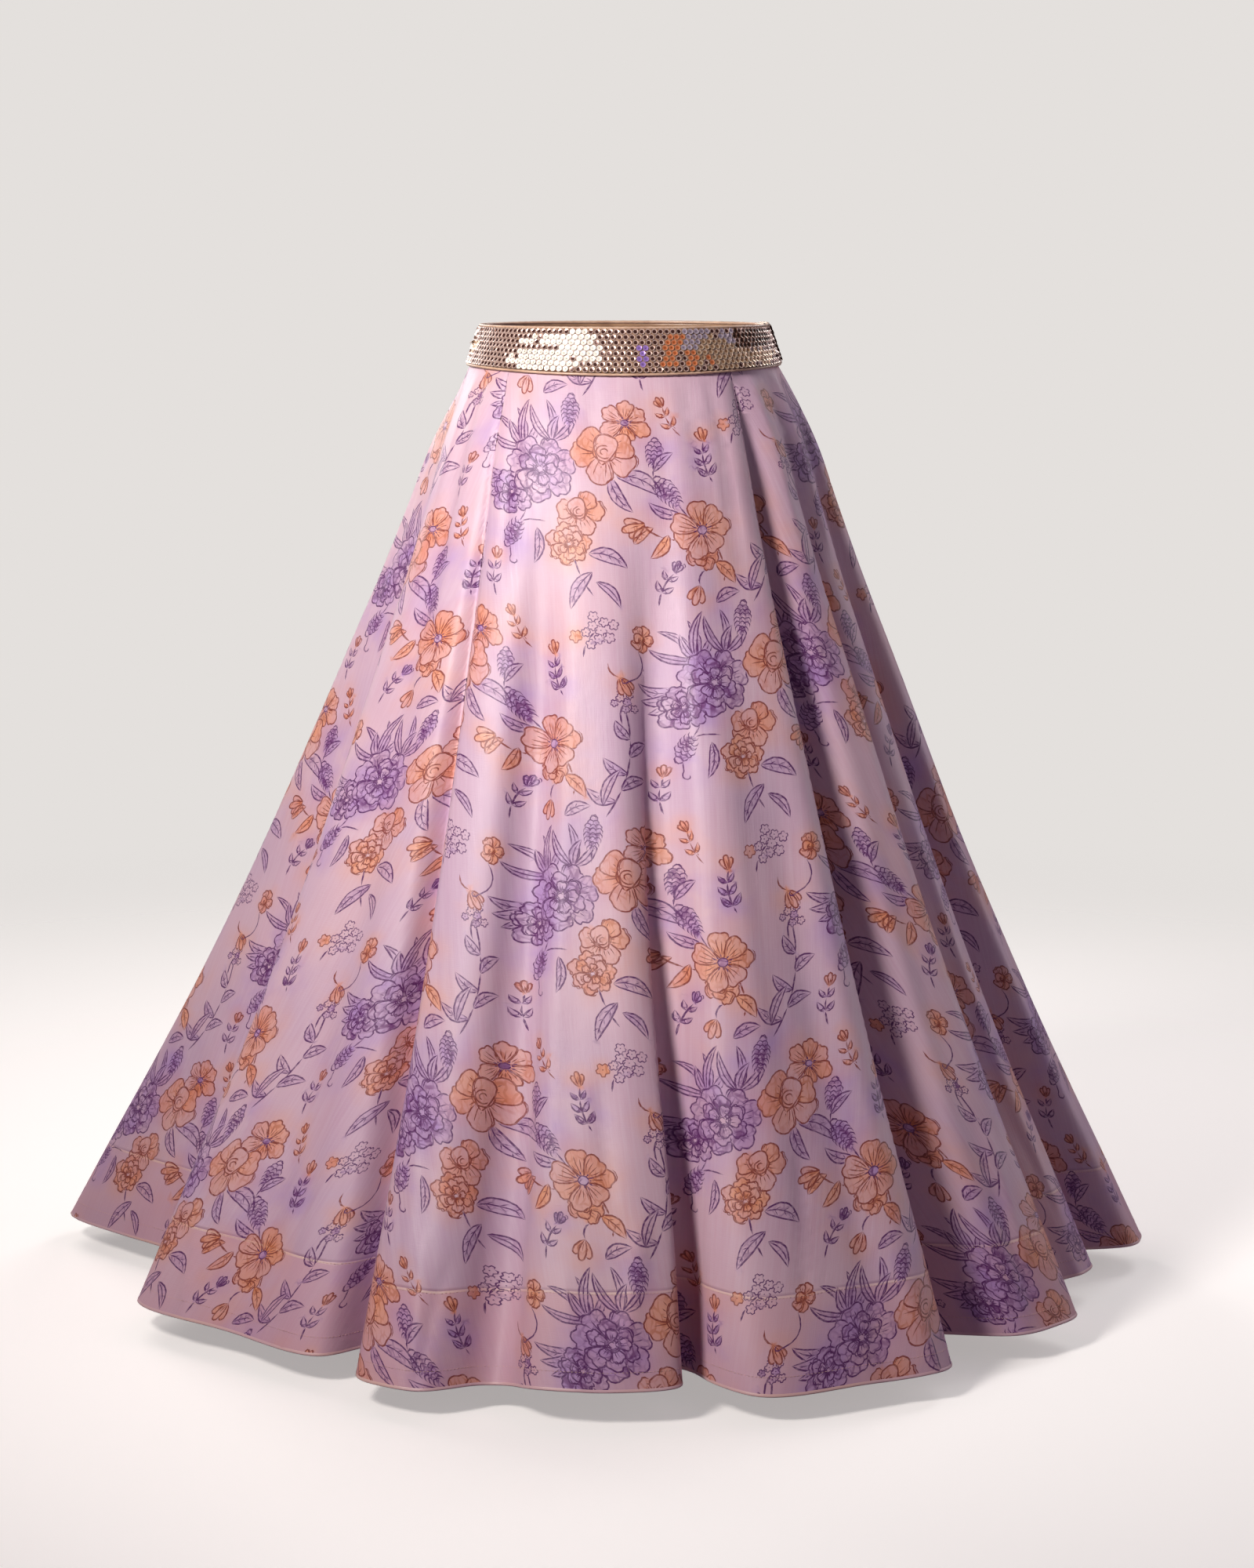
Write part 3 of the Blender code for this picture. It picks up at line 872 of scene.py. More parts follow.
def sprig(drawing, foot, deg, length, pairs=3, ink=PURPLE, tint=None, tip=None):
    """A short stalk with pairs of small leaves and perhaps a bud at its tip."""
    stalk = turned(arc_between((0.0, 0.0), (length, 0.0), 0.10), deg) + foot
    stem(drawing, stalk, ink)
    for k in range(pairs):
        at = stalk[int((k + 1) * 10 / (pairs + 0.5))]
        size = length * (0.36 - 0.04 * k)
        for side in (1.0, -1.0):
            leaf(drawing, at, deg + 42.0 * side, size, size * 0.36, 0.08 * side, 1, ink, tint)
    if tip is not None:
        bud(drawing, stalk[-1], deg, length * 0.36, tip, tip)


def spike(drawing, foot, deg, length, width, ink=PURPLE, tint=PURPLE):
    """A flower spike, as hyacinth or lavender carries: rows of small cupped petals on a stalk."""
    t = np.linspace(0.0, 1.0, 12)
    half = width / 2.0 * np.sin(math.pi * (0.12 + 0.88 * t) ** 1.3) ** 0.7
    body = 0.26 + 0.70 * t
    side = np.stack([body * length, half], axis=1)
    outline = turned(np.concatenate([side, (side * (1.0, -1.0))[::-1][1:-1]]), deg) + foot
    rub_out(drawing, outline)
    wash(drawing, outline, tint, 0.75)
    stem(drawing, turned([(0.0, 0.0), (length * 0.14, 0.3), (length * 0.30, 0.0)], deg) + foot, ink)
    rows = max(4, int(length / 6.0))
    for row in range(rows):
        share = row / (rows - 1)
        count = 3 if 0.1 < share < 0.8 else 2
        reach = float(np.interp(share, t, half))
        for k in range(count):
            lean = (k - (count - 1) / 2.0) / count * 2.0
            size = width * hand.uniform(0.20, 0.27)
            cup = [(0.0, size), (0.8, 0.72), (1.25, 0.0), (0.8, -0.72), (0.0, -1.0)]
            cup = np.array([(x * size, y * size if i else size) for i, (x, y) in enumerate(cup)])
            middle = np.array([(0.26 + 0.62 * share) * length, lean * reach])
            place = turned([middle], deg)[0] + foot
            pen(drawing, turned(cup, deg + 28.0 * lean) + place, ink, width=PEN * 0.8)


def spiky_fan(drawing, foot, degs, length, width):
    """A spray of narrow leaves from one point."""
    for k, deg in enumerate(degs):
        size = length * (0.80 + 0.20 * math.sin(1.9 * k + 0.6))
        leaf(drawing, foot, deg, size, width, 0.12 * (-1) ** k, 0)


def tendril(drawing, foot, deg, length, bend=0.3, ink=PURPLE):
    """A thin stalk that sways out and rolls up at its tip."""
    sway = arc_between((0.0, 0.0), (length, 0.0), bend, 14)
    curl = np.linspace(0.0, 4.4, 12)[1:]
    side = math.copysign(1.0, bend)
    roll = length * 0.11 * (1.0 - curl / 7.0)
    centre = np.array([length, 0.0]) - (0.0, side * length * 0.11)
    knob = np.stack([np.sin(curl) * roll, side * np.cos(curl) * roll], axis=1) + centre
    pen(drawing, turned(np.concatenate([sway, knob]), deg) + foot, ink, width=PEN * 0.9)


print("the flowers can be drawn")

# %% [markdown]
# ## The repeat
#
# A printed cloth repeats. Here one figure is 160 mm wide and 420 mm tall, and each column of
# figures is dropped by half of that, so the eye finds no rows. The figure holds one big bouquet,
# an open flower on a branch, a tall leafy stem, and the small sprigs and buds that fill the
# ground between them. It is listed in the order in which it is drawn, from the back to the front:
# each row says what is drawn, where, and with what sizes.

# %% One figure of the repeat
REPEAT_WIDTH = 160.0
REPEAT_HEIGHT = 420.0
BOTH_ORANGE = (ORANGE, ORANGE)        # a flower's ink and its wash
# Purple peonies with orange roses, spiky leaves above them and long leaves below.
BOUQUET = (
    (spiky_fan, (-34.0, 30.0), (164, 140, 120, 100, 80, 60), 50.0, 8.0),
    (spiky_fan, (-4.0, 36.0), (118, 94, 70, 48), 47.0, 8.5),
    (spike, (14.0, 40.0), 84.0, 48.0, 16.0),
    (leaf, (-48.0, 2.0), 172.0, 44.0, 10.5, 0.14, 2),
    (leaf, (-48.0, 2.0), 194.0, 42.0, 10.5, 0.14, 2),
    (leaf, (-48.0, 2.0), 216.0, 40.0, 10.5, 0.14, 2),
    (bowed_stem, (20.0, -20.0), (30.0, -118.0), -0.14),
    (leaf, (27.0, -76.0), -20.0, 40.0, 14.0),
    (leaf, (30.0, -94.0), 238.0, 44.0, 12.0, -0.10),
    (leaf, (33.0, -104.0), -48.0, 34.0, 9.0, 0.14, 0),
    (leaf, (58.0, 2.0), -26.0, 50.0, 16.0),
    (leaf, (52.0, 2.0), -60.0, 42.0, 12.0, -0.12),
    (tendril, (-14.0, -44.0), 222.0, 52.0, -0.34),
    (spike, (-34.0, -34.0), 236.0, 44.0, 17.0),
    (leaf, (-24.0, -50.0), 262.0, 36.0, 9.0, 0.12, 2),
    (peony, (-50.0, -16.0), 25.0, PURPLE, PURPLE, 0.92, 6.0),
    (anemone, (70.0, 56.0), 25.0, *BOTH_ORANGE, 6, 30.0, 0.80),
    (peony, (-18.0, 8.0), 38.0, PURPLE, PURPLE, 0.86),
    (rose, (48.0, 26.0), 32.0, *BOTH_ORANGE, -14.0),
    (rose, (20.0, -34.0), 24.0, *BOTH_ORANGE, 22.0),
    (peony, (8.0, -66.0), 24.0, *BOTH_ORANGE, 0.85, -4.0),
)
# An open orange flower on a branch, with a drooping bud and a lilac companion.
FLOWER_BRANCH = (
    (bowed_stem, (-80.0, 164.0), (-20.0, 156.0), -0.18, ORANGE),
    (bowed_stem, (-16.0, 152.0), (0.0, 106.0), 0.14, ORANGE),
    (leaf, (-54.0, 154.0), 232.0, 30.0, 11.0, 0.12, 1, *BOTH_ORANGE),
    (leaf, (-8.0, 126.0), -48.0, 30.0, 13.0, 0.10, 2, *BOTH_ORANGE),
    (bud, (-76.0, 164.0), 196.0, 24.0),
    (spike, (-34.0, 172.0), 128.0, 50.0, 18.0),
    (leaf, (-40.0, 174.0), 160.0, 34.0, 10.0, 0.14, 2),
    (rose, (-22.0, 132.0), 17.0, *BOTH_ORANGE, 160.0),
    (anemone, (-20.0, 158.0), 31.0, *BOTH_ORANGE, 7, 4.0, 0.86),
)
# Small things that fill the ground between the large ones.
FILLERS = (
    (sprig, (-66.0, 84.0), 64.0, 36.0, 2, PURPLE, None, PURPLE),
    (bud, (-26.0, 104.0), 250.0, 21.0),
    (bowed_stem, (-26.0, 104.0), (-20.0, 118.0), 0.2),
    (spike, (-66.0, 210.0), 84.0, 42.0, 16.0),
    (leaf, (-65.0, 216.0), 44.0, 28.0, 9.0, 0.12, 2),
    (sprig, (-6.0, 204.0), 100.0, 42.0, 3, PURPLE, PURPLE, ORANGE),
    (bud, (50.0, 222.0), 300.0, 20.0),
    (bowed_stem, (50.0, 222.0), (40.0, 236.0), 0.2, ORANGE),
    (blossom_cluster, (32.0, 268.0), 20.0, 9, PURPLE, None, 240.0),
    (sprig, (-36.0, 252.0), 118.0, 34.0, 2, ORANGE, ORANGE, ORANGE),
    (rose, (74.0, 262.0), 13.0, *BOTH_ORANGE, 80.0),
    (tendril, (70.0, 250.0), 250.0, 34.0, 0.30),
    (leaf, (-10.0, 86.0), 20.0, 28.0, 11.0, 0.14, 2),
    (sprig, (-70.0, -120.0), 88.0, 36.0, 2, PURPLE, None, ORANGE),
    (leaf, (72.0, -66.0), 40.0, 26.0, 11.0, 0.12, 2, *BOTH_ORANGE),
    (floret, (10.0, 262.0), 7.0, *BOTH_ORANGE),
)


def tall_stem(drawing, foot, tip):
    """A leafy stem with a head of lilac blossom."""
    stalk = arc_between(foot, tip, -0.12, 20)
    stem(drawing, stalk)
    for k, deg in ((3, 154.0), (5, 24.0), (8, 144.0), (11, 36.0), (14, 128.0)):
        leaf(drawing, stalk[k], deg, 34.0 - 0.8 * k, 10.5, 0.14, 2)
    blossom_cluster(drawing, stalk[-1] + (0.0, 6.0), 15.0, 7, PURPLE, PURPLE, 262.0)
    leaf(drawing, stalk[0] + (-2.0, 12.0), 62.0, 40.0, 9.0, 0.10, 0)


def print_figure():
    """Everything in one figure of the repeat."""
    drawing = Drawing([], [])
    tall_stem(drawing, (30.0, 84.0), (54.0, 192.0))
    for draw, place, *sizes in BOUQUET + FLOWER_BRANCH + FILLERS:
        draw(drawing, place, *sizes)
    return drawing


FIGURE = print_figure()
print("one figure:", len(FIGURE.strokes), "strokes and", len(FIGURE.washes), "washes,",
      sum(len(s.points) for s in FIGURE.strokes), "points")

# %% [markdown]
# ## Cutting the print into the cloth
#
# A picture laid over the cloth would blur in close views, so the print is cut into the mesh
# instead. The panel is laid flat: along each row the cloth's length gives x, and down the panel
# its slant gives y, both in millimetres. The panel's edge, its grid of points and the edges of
# the pen strokes all go into one constrained Delaunay triangulation, and Blender's
# `delaunay_2d_cdt` also tells which stroke each triangle lies in. The washes have soft edges, so
# they are only read at the cloth's points. The triangles are then carried back onto the folds,
# and take their normals from the smooth surface.

# %% Flat panels
FlatPanel = namedtuple("FlatPanel", "points normals across down")
ALMOST = 1.0001                       # keeps a reading just inside the last step of a table


def flat_panel(first_fold, last_fold):
    """A panel's part of the surface with its flat coordinates, in millimetres."""
    start = int(column_of(first_fold, 0)) - FINE_STEPS
    end = int(column_of(last_fold, 3))
    picks = np.arange(start, end + 1) % COLUMNS
    plain = plain_surface[picks]
    steps = np.linalg.norm(np.diff(plain, axis=0), axis=2) / MM
    across = np.concatenate([np.zeros((1, steps.shape[1])), np.cumsum(steps, axis=0)])
    across -= across[-1] / 2.0
    slant = np.linalg.norm(np.diff(plain, axis=1), axis=2).mean(axis=0) / MM
    down = np.concatenate([[0.0], np.cumsum(slant)]) - slant[0]
    gap = SEAM_GAP / MM / 2.0
    across = np.clip(across, across[0] + gap, across[-1] - gap)
    return FlatPanel(cloth_surface[picks], cloth_normals[picks], across, down)


def on_cloth(panel, flat):
    """Points and normals on the folds for flat points in millimetres."""
    rows = len(panel.down)
    row = np.clip(np.interp(flat[:, 1], panel.down, np.arange(rows)), 0, rows - ALMOST)
    above = row.astype(int)
    share = row - above
    apart = 1.0e5                     # keeps the rows' tables apart in one sorted list
    keys = (np.arange(rows)[:, None] * apart + panel.across.T).ravel()
    columns = panel.across.shape[0]
    found = []
    for r in (above, above + 1):
        key = np.clip(flat[:, 0], panel.across[0, r], panel.across[-1, r]) + r * apart
        at = np.clip(np.searchsorted(keys, key, side="right") - 1, r * columns,
                     (r + 1) * columns - 2)
        width = np.maximum(keys[at + 1] - keys[at], 1e-9)
        found.append(at - r * columns + np.clip((key - keys[at]) / width, 0.0, 1.0))
    column = np.clip(found[0] * (1 - share) + found[1] * share, 0, columns - ALMOST)
    left = column.astype(int)
    part = (column - left)[:, None]
    share = share[:, None]

    def read(field):
        upper, lower = [field[left, r] * (1 - part) + field[left + 1, r] * part
                        for r in (above, above + 1)]
        return upper * (1 - share) + lower * share

    return read(panel.points), unit(read(panel.normals))


# %% The triangulation
GRID_SPACING = 8.5                    # wanted distance between the cloth's own points, mm
TOUCHING = 1e-4                       # points nearer than this are one point, mm
FIGURE_AT = (-67.0, 105.0)            # where the front panel's first bouquet lies, mm


def grid_points(panel):
    """The cloth's own points, thinned out where its columns run close together."""
    picked = []
    columns = panel.across.shape[0]
    for r in range(1, len(panel.down) - 1):
        width = panel.across[-1, r] - panel.across[0, r]
        stride = max(2, int(round(GRID_SPACING * columns / width)))
        for c in range(stride + (r % 2) * (stride // 2), columns - 2, stride):
            picked.append((panel.across[c, r], panel.down[r]))
    return picked


def outline_points(panel):
    """The panel's edge, run round with the cloth on its left."""
    left, right = [np.stack([panel.across[c], panel.down], axis=1) for c in (0, -1)]
    columns = len(panel.across)
    top, hem = [np.stack([panel.across[:, r], np.full(columns, panel.down[r])], axis=1)
                for r in (0, -1)]
    return np.concatenate([top[::6][:-1], right, hem[::-2][1:-1], left[::-1]])


def turns_left(corners):
    """Whether every corner of a small polygon turns left, so that it is convex."""
    ahead = np.roll(corners, -1, axis=0) - corners
    after = np.roll(ahead, -1, axis=0)
    return bool(np.all(ahead[:, 0] * after[:, 1] - ahead[:, 1] * after[:, 0] > 1e-6))


# A cut is one pen stroke of the print: its points, the polygons between them, and its ink.
Cut = namedtuple("Cut", "points polygons ink low high")
NO_INK = -1
WHOLE_PANEL = 0                       # the number of the panel's own outline among the polygons
Y_DOWN = (1.0, -1.0)                  # a drawing's y runs up, and the flat cloth's runs down


def cut_shapes(drawing):
    """The drawing's strokes as polygons that turn left, y down the cloth."""
    cuts = []
    for stroke in drawing.strokes:
        one, other = ribbon(stroke)
        count = len(one)
        points = np.concatenate([one, other[1:-1]]) * Y_DOWN
        polygons = []
        for k in range(count - 1):
            polygon = [k, k + 1]
            if k + 1 < count - 1:
                polygon.append(count + k)
            if k > 0:
                polygon.append(count + k - 1)
            for order in (polygon, polygon[::-1]):
                if len(order) > 2 and turns_left(points[order]):
                    polygons.append(order)
        cuts.append(Cut(points, polygons, stroke.ink, points.min(axis=0), points.max(axis=0)))
    return cuts


FIGURE_CUTS = cut_shapes(FIGURE)


def printed_triangles(panel, figures_at):
    """Triangulate a flat panel with the pen strokes cut into it.

    Returns flat points, triangles, and each triangle's ink or NO_INK.
    """
    points = outline_points(panel).tolist()
    faces = [list(range(len(points)))]
    face_inks = [NO_INK]
    reach = panel.across[-1]
    for place in figures_at:
        for cut in FIGURE_CUTS:
            top, bottom = cut.low[1] + place[1], cut.high[1] + place[1]
            if bottom < panel.down[0] or top > panel.down[-1]:
                continue
            edge = np.interp(bottom, panel.down, reach)
            if cut.low[0] + place[0] > edge or cut.high[0] + place[0] < -edge:
                continue
            first = len(points)
            points.extend((cut.points + place).tolist())
            for polygon in cut.polygons:
                faces.append([first + k for k in polygon])
                face_inks.append(cut.ink)
    points.extend(grid_points(panel))
    out_points, _, triangles, _, _, origins = geometry.delaunay_2d_cdt(
        [Vector(p) for p in points], [], faces, 0, TOUCHING)
    kept, inks = [], []
    for triangle, ids in zip(triangles, origins):
        if WHOLE_PANEL in ids:
            kept.append(triangle)
            inks.append(face_inks[max(ids)])
    return np.array([tuple(p) for p in out_points]), np.array(kept), np.array(inks)


BLEEDING_REACH = 10.0                 # only petals longer than this bleed, mm
BLEED_MARGIN = 20.0                   # how far round a figure its dye can bleed, mm
BLEED_SPREAD = 1.45                   # the bleed's reach, in lengths of its petal
HEART_FALLOFF = 0.4                   # how much paler a petal is at its far end


def washes_at(flat, figures_at):
    """How strongly each flat point is washed with lilac and with orange, and each wash's bleed.

    Where petals lie over each other the front one wins. A large petal's dye also bleeds out.
    """
    tints, bleeds = np.zeros((2, len(flat), 2))
    outlines = [wash.outline * Y_DOWN for wash in FIGURE.washes]
    lows = np.array([outline.min(axis=0) for outline in outlines])
    highs = np.array([outline.max(axis=0) for outline in outlines])
    for place in figures_at:
        local = flat - place
        near = np.flatnonzero(np.all((local > lows.min(axis=0) - BLEED_MARGIN)
                                     & (local < highs.max(axis=0) + BLEED_MARGIN), axis=1))
        for wash, outline, low, high in zip(FIGURE.washes, outlines, lows, highs):
            boxed = near[np.all((local[near] > low) & (local[near] < high), axis=1)]
            if len(boxed) == 0:
                continue
            wet = boxed[inside(local[boxed], outline)]
            away = np.linalg.norm(local[wet] * Y_DOWN - wash.heart, axis=1) / wash.reach
            tints[wet] = 0.0
            tints[wet, wash.tint] = wash.strength * (1.0 - HEART_FALLOFF * away)
        for wash, outline in zip(FIGURE.washes, outlines):
            if wash.reach > BLEEDING_REACH and wash.strength > LEAF_WASH:
                away = np.linalg.norm(local[near] - outline.mean(axis=0), axis=1) / wash.reach
                bleed = np.clip(BLEED_SPREAD - away, 0.0, 1.0)
                bleeds[near, wash.tint] = np.maximum(bleeds[near, wash.tint], bleed)
    return tints, bleeds


def figures_over(panel, shift):
    """Places of the repeat's figures that can reach a panel, in flat millimetres."""
    places = []
    first = int(panel.across.min() // REPEAT_WIDTH) - 2
    last = int(panel.across.max() // REPEAT_WIDTH) + 2
    for column in range(first, last + 1):
        x = FIGURE_AT[0] + shift[0] + column * REPEAT_WIDTH
        for row in range(-2, 6):
            y = FIGURE_AT[1] + shift[1] + row * REPEAT_HEIGHT + (column % 2) * REPEAT_HEIGHT / 2
            places.append(np.array([x, y]))
    return places


# %% Panels as meshes
LAYER_FIELDS = {"FLOAT": "value", "FLOAT_VECTOR": "vector", "FLOAT_COLOR": "color"}
PANEL_SET_APART = 3.7                 # keeps the dye of one panel from repeating on the next


def add_layer(mesh, name, values, domain="POINT", kind="FLOAT"):
    """Store values on a mesh, under a name that a material can read."""
    layer = mesh.attributes.new(name, kind, domain)
    layer.data.foreach_set(LAYER_FIELDS[kind], np.asarray(values, np.float32).ravel())


def add_piece(name, mesh, stands_for=None):
    """Put a mesh in the scene as a piece that rides on the skirt's one body."""
    piece = add_to_scene(name, mesh)
    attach(piece, BODY)
    if stands_for:
        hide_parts(stands_for)
    return piece


def add_flat_layout(mesh, flat):
    """Lay the panel's flat cut out as its UV map."""
    corner_of = np.zeros(len(mesh.loops), int)
    mesh.loops.foreach_get("vertex_index", corner_of)
    place = (flat - flat.min(axis=0)) / np.ptp(flat, axis=0)
    place[:, 1] = 1.0 - place[:, 1]
    layout = mesh.uv_layers.new(name="OFBake")
    layout.data.foreach_set("uv", place[corner_of].astype(np.float32).ravel())


def make_panel(number, name, first_fold, last_fold, shift, material):
    """One printed panel: cut flat, then carried onto its folds."""
    panel = flat_panel(first_fold, last_fold)
    figures_at = figures_over(panel, shift)
    flat, triangles, inks = printed_triangles(panel, figures_at)
    used, faces = np.unique(triangles, return_inverse=True)
    faces = faces.reshape(-1, 3)
    flat = flat[used]
    places, normals = on_cloth(panel, flat)
    mesh = new_mesh(name, places.tolist(), faces.tolist(), material)
    one, two, three = [places[faces[:, k]] for k in range(3)]
    faces_out = np.sum(np.cross(two - one, three - one) * normals[faces[:, 0]], axis=1)
    if np.median(faces_out) < 0:
        mesh.flip_normals()
    mesh.normals_split_custom_set_from_vertices(normals.tolist())
    tints, bleeds = washes_at(flat, figures_at)
    for kind, amounts in (("_wash", tints), ("_bleed", bleeds)):
        add_layer(mesh, "lilac" + kind, amounts[:, PURPLE])
        add_layer(mesh, "orange" + kind, amounts[:, ORANGE])
    for ink, colour in (("purple_ink", PURPLE), ("orange_ink", ORANGE)):
        add_layer(mesh, ink, inks == colour, "FACE")
    apart = np.full(len(flat), PANEL_SET_APART * number)
    add_layer(mesh, "cloth", np.column_stack([flat * MM, apart]), kind="FLOAT_VECTOR")
    add_layer(mesh, "above_hem", (panel.down[-1] - flat[:, 1]) * MM)
    add_flat_layout(mesh, flat)
    piece = add_piece("printed_" + name, mesh, stands_for=name)


# %% [markdown]
# ## Printed silk organza
#
# Organza is plain-woven from twisted silk, so it is crisp, half sheer and slightly lustrous: its
# highlights are soft streaks down the folds. The dye on the ground drifts between pink, lilac
# and peach, and bleeds out a little round the big flowers. The washes soak in unevenly and the
# pen lines break up here and there, so each is mixed in through its own noise. The quickest pen
# work, the tangle inside a petal, is finer than the mesh, so the material draws it as wandering
# lines. Warp and weft lie four to the millimetre, too fine to show, so they are drawn between
# three and four times coarser, over the slight waviness of a washed cloth. Where the hem is faced
# the cloth is double, and the facing's pink shows through.
# A painted shadow line lies just above the facing's top edge.

# %% The organza material
THREAD = 0.0009                       # drawn thread spacing; the real one is 0.25 mm
FACING_DEPTH = 0.090


def printed_organza():
    """Silk organza with a printed ground, two washes and two inks."""
    material, tree, shader = new_material(
        "printed_silk_organza", Specular_IOR_Level=0.42, Sheen_Weight=0.22, Sheen_Roughness=0.35,
        Sheen_Tint="#F6E4F0")
    cloth = add_node(tree, "ShaderNodeAttribute", {"attribute_name": "cloth"}).outputs["Vector"]

    def noise(scale, detail=2.0, stretch=(1.0, 1.0, 1.0), roughness=0.5):
        """Noise over the flat cloth; scale is in features a metre."""
        place = add_node(tree, "ShaderNodeMapping", {"Scale": stretch}, Vector=cloth)
        made = add_node(tree, "ShaderNodeTexNoise",
                        {"Scale": scale, "Detail": detail, "Roughness": roughness},
                        Vector=place.outputs["Vector"])
        return made.outputs["Fac"]

    def ramp(source, low, high, to_low=0.0, to_high=1.0):
        made = add_node(tree, "ShaderNodeMapRange",
                        {"From Min": low, "From Max": high, "To Min": to_low, "To Max": to_high},
                        Value=source)
        return made.outputs["Result"]

    def calculated(operation, a, b):
        """Two numbers put together; the second may be a plain one."""
        made = add_node(tree, "ShaderNodeMath", {"operation": operation}, in_0=a)
        if isinstance(b, float):
            made.inputs[1].default_value = b
        else:
            tree.links.new(b, made.inputs[1])
        return made.outputs["Value"]

    def times(first, *others):
        for other in others:
            first = calculated("MULTIPLY", first, other)
        return first

    def mixed(share, below, above):
        made = add_node(tree, "ShaderNodeMix", {"data_type": "RGBA"})
        tree.links.new(share, made.inputs[0])
        for socket, value in ((6, below), (7, above)):
            if isinstance(value, str):
                made.inputs[socket].default_value = linear(value)
            else:
                tree.links.new(value, made.inputs[socket])
        return made.outputs[2]

    def layer(name):
        return add_node(tree, "ShaderNodeAttribute", {"attribute_name": name}).outputs["Fac"]

    def scribble(cells, stretch, thickness):
        """Thin wandering lines, as a quick pen fills a flower; cells is in cells a metre."""
        wander = add_node(tree, "ShaderNodeTexNoise", {"Scale": cells * 0.7, "Detail": 1.0},
                          Vector=cloth)
        shifted = add_node(tree, "ShaderNodeVectorMath",
                           {"operation": "MULTIPLY_ADD", 1: (0.8 / cells,) * 3},
                           in_0=wander.outputs["Color"], in_2=cloth)
        place = add_node(tree, "ShaderNodeMapping", {"Scale": stretch},
                         Vector=shifted.outputs["Vector"])
        made = add_node(tree, "ShaderNodeTexVoronoi",
                        {"feature": "DISTANCE_TO_EDGE", "Scale": cells},
                        Vector=place.outputs["Vector"])
        return ramp(made.outputs["Distance"], thickness, thickness * 2.2, 1.0, 0.0)

    lilac, orange = layer("lilac_wash"), layer("orange_wash")
    above_hem = layer("above_hem")
    slubs = noise(1.0 / THREAD / 3.0, 3.0, (1.0, 0.03, 1.0), 0.65)
    doubled = ramp(above_hem, FACING_DEPTH + 0.0004, FACING_DEPTH - 0.0004)
    blotches = ramp(noise(14.0), 0.3, 0.7, 0.25, 0.55)
    folded_edge = ramp(above_hem, FACING_DEPTH - 0.0026, FACING_DEPTH - 0.0018)
    # a painted shadow line just above the facing's top edge
    shadow_top = ramp(above_hem, FACING_DEPTH + 0.0030, FACING_DEPTH + 0.0004)
    shadow_foot = ramp(above_hem, FACING_DEPTH - 0.0004, FACING_DEPTH + 0.0002)
    bled = ramp(noise(24.0, 3.0), 0.38, 0.66)
    orange_soak = ramp(noise(28.0, 3.0), 0.25, 0.70, 0.58, 1.25)
    lilac_soak = ramp(noise(34.0, 3.0), 0.36, 0.62, 0.25, 1.1)
    orange_dye = mixed(ramp(noise(17.0, 2.0), 0.35, 0.65), "#F2A26E", "#E6834A")
    broken = ramp(noise(90.0, 2.0), 0.36, 0.60)
    tangle = times(scribble(80.0, (1.0, 0.6, 1.0), 0.055), ramp(noise(55.0, 2.0), 0.40, 0.58))
    ruffles = times(scribble(120.0, (1.0, 1.25, 1.0), 0.060), broken, 0.80)
    veins = times(scribble(110.0, (1.5, 0.75, 1.0), 0.060), broken, 0.62)
    unsteady = ramp(noise(220.0, 2.0), 0.32, 0.55, 0.60, 1.0)

    # What is dyed over what: where, how strongly and in which colour.
    dyes = (
        # the ground drifts from pink to lilac, peach and mauve, with paler slubs
        (ramp(noise(5.0, 3.0), 0.40, 0.62), "#CFADC4"),
        (ramp(noise(7.5, 2.0, (1.0, 0.8, 1.7)), 0.55, 0.74, 0.0, 0.45), "#E2B0AC"),
        (ramp(noise(3.2, 3.0, (1.3, 1.0, 2.3)), 0.50, 0.72, 0.0, 0.55), "#C898B2"),
        (ramp(slubs, 0.35, 0.65, 0.0, 0.18), "#EBDAE4"),
        # the facing shows through, its folded edge pale, with a painted shadow line just above its
        # top edge
        (times(doubled, blotches), "#DFA6B0"),
        (times(times(doubled, folded_edge), times(blotches, 1.6)), "#F8D8CE"),
        (times(times(shadow_top, shadow_foot), times(blotches, 1.3)), "#96667E"),
        # dye that bled out of the big flowers, and the washes themselves
        (times(layer("lilac_bleed"), bled, 0.55), "#AE88CC"),
        (times(layer("orange_bleed"), bled, 0.38), "#EDA882"),
        (times(orange, orange_soak, 0.90), orange_dye),
        (times(lilac, lilac_soak, 0.64), "#A478C6"),
        # the quick pen work inside the petals
        (times(ramp(lilac, 0.30, 0.60, 0.0, 0.75), tangle), "#70306F"),
        (times(times(lilac, 1.4), ruffles), "#6C2F74"),
        (times(times(orange, 1.4), veins), "#C0663C"),
        # the drawn lines
        (times(layer("orange_ink"), times(unsteady, 0.94)), "#8A3A30"),
        (times(layer("purple_ink"), times(unsteady, 0.96)), "#5C2262"),
    )
    colour = "#DDB8C6"
    for share, dye in dyes:
        colour = mixed(share, colour, dye)
    tree.links.new(colour, shader.inputs["Base Color"])

    warp = noise(1.0 / THREAD, 1.0, (1.0, 0.06, 1.0))
    weft = noise(1.0 / THREAD, 1.0, (0.06, 1.0, 1.0))
    thick_places = calculated("ADD", times(slubs, 1.6), times(doubled, 2.0))
    woven = calculated("ADD", calculated("ADD", warp, weft), thick_places)
    uneven = add_node(tree, "ShaderNodeBump", {"Strength": 0.55, "Distance": 0.0016},
                      Height=noise(26.0, 3.0, (1.0, 0.7, 1.0)))
    bump = add_node(tree, "ShaderNodeBump", {"Strength": 0.22, "Distance": 0.0004},
                    Height=woven, Normal=uneven.outputs["Normal"])
    tree.links.new(bump.outputs["Normal"], shader.inputs["Normal"])
    tree.links.new(ramp(slubs, 0.3, 0.7, 0.40, 0.52), shader.inputs["Roughness"])
    return material


ORGANZA = printed_organza()
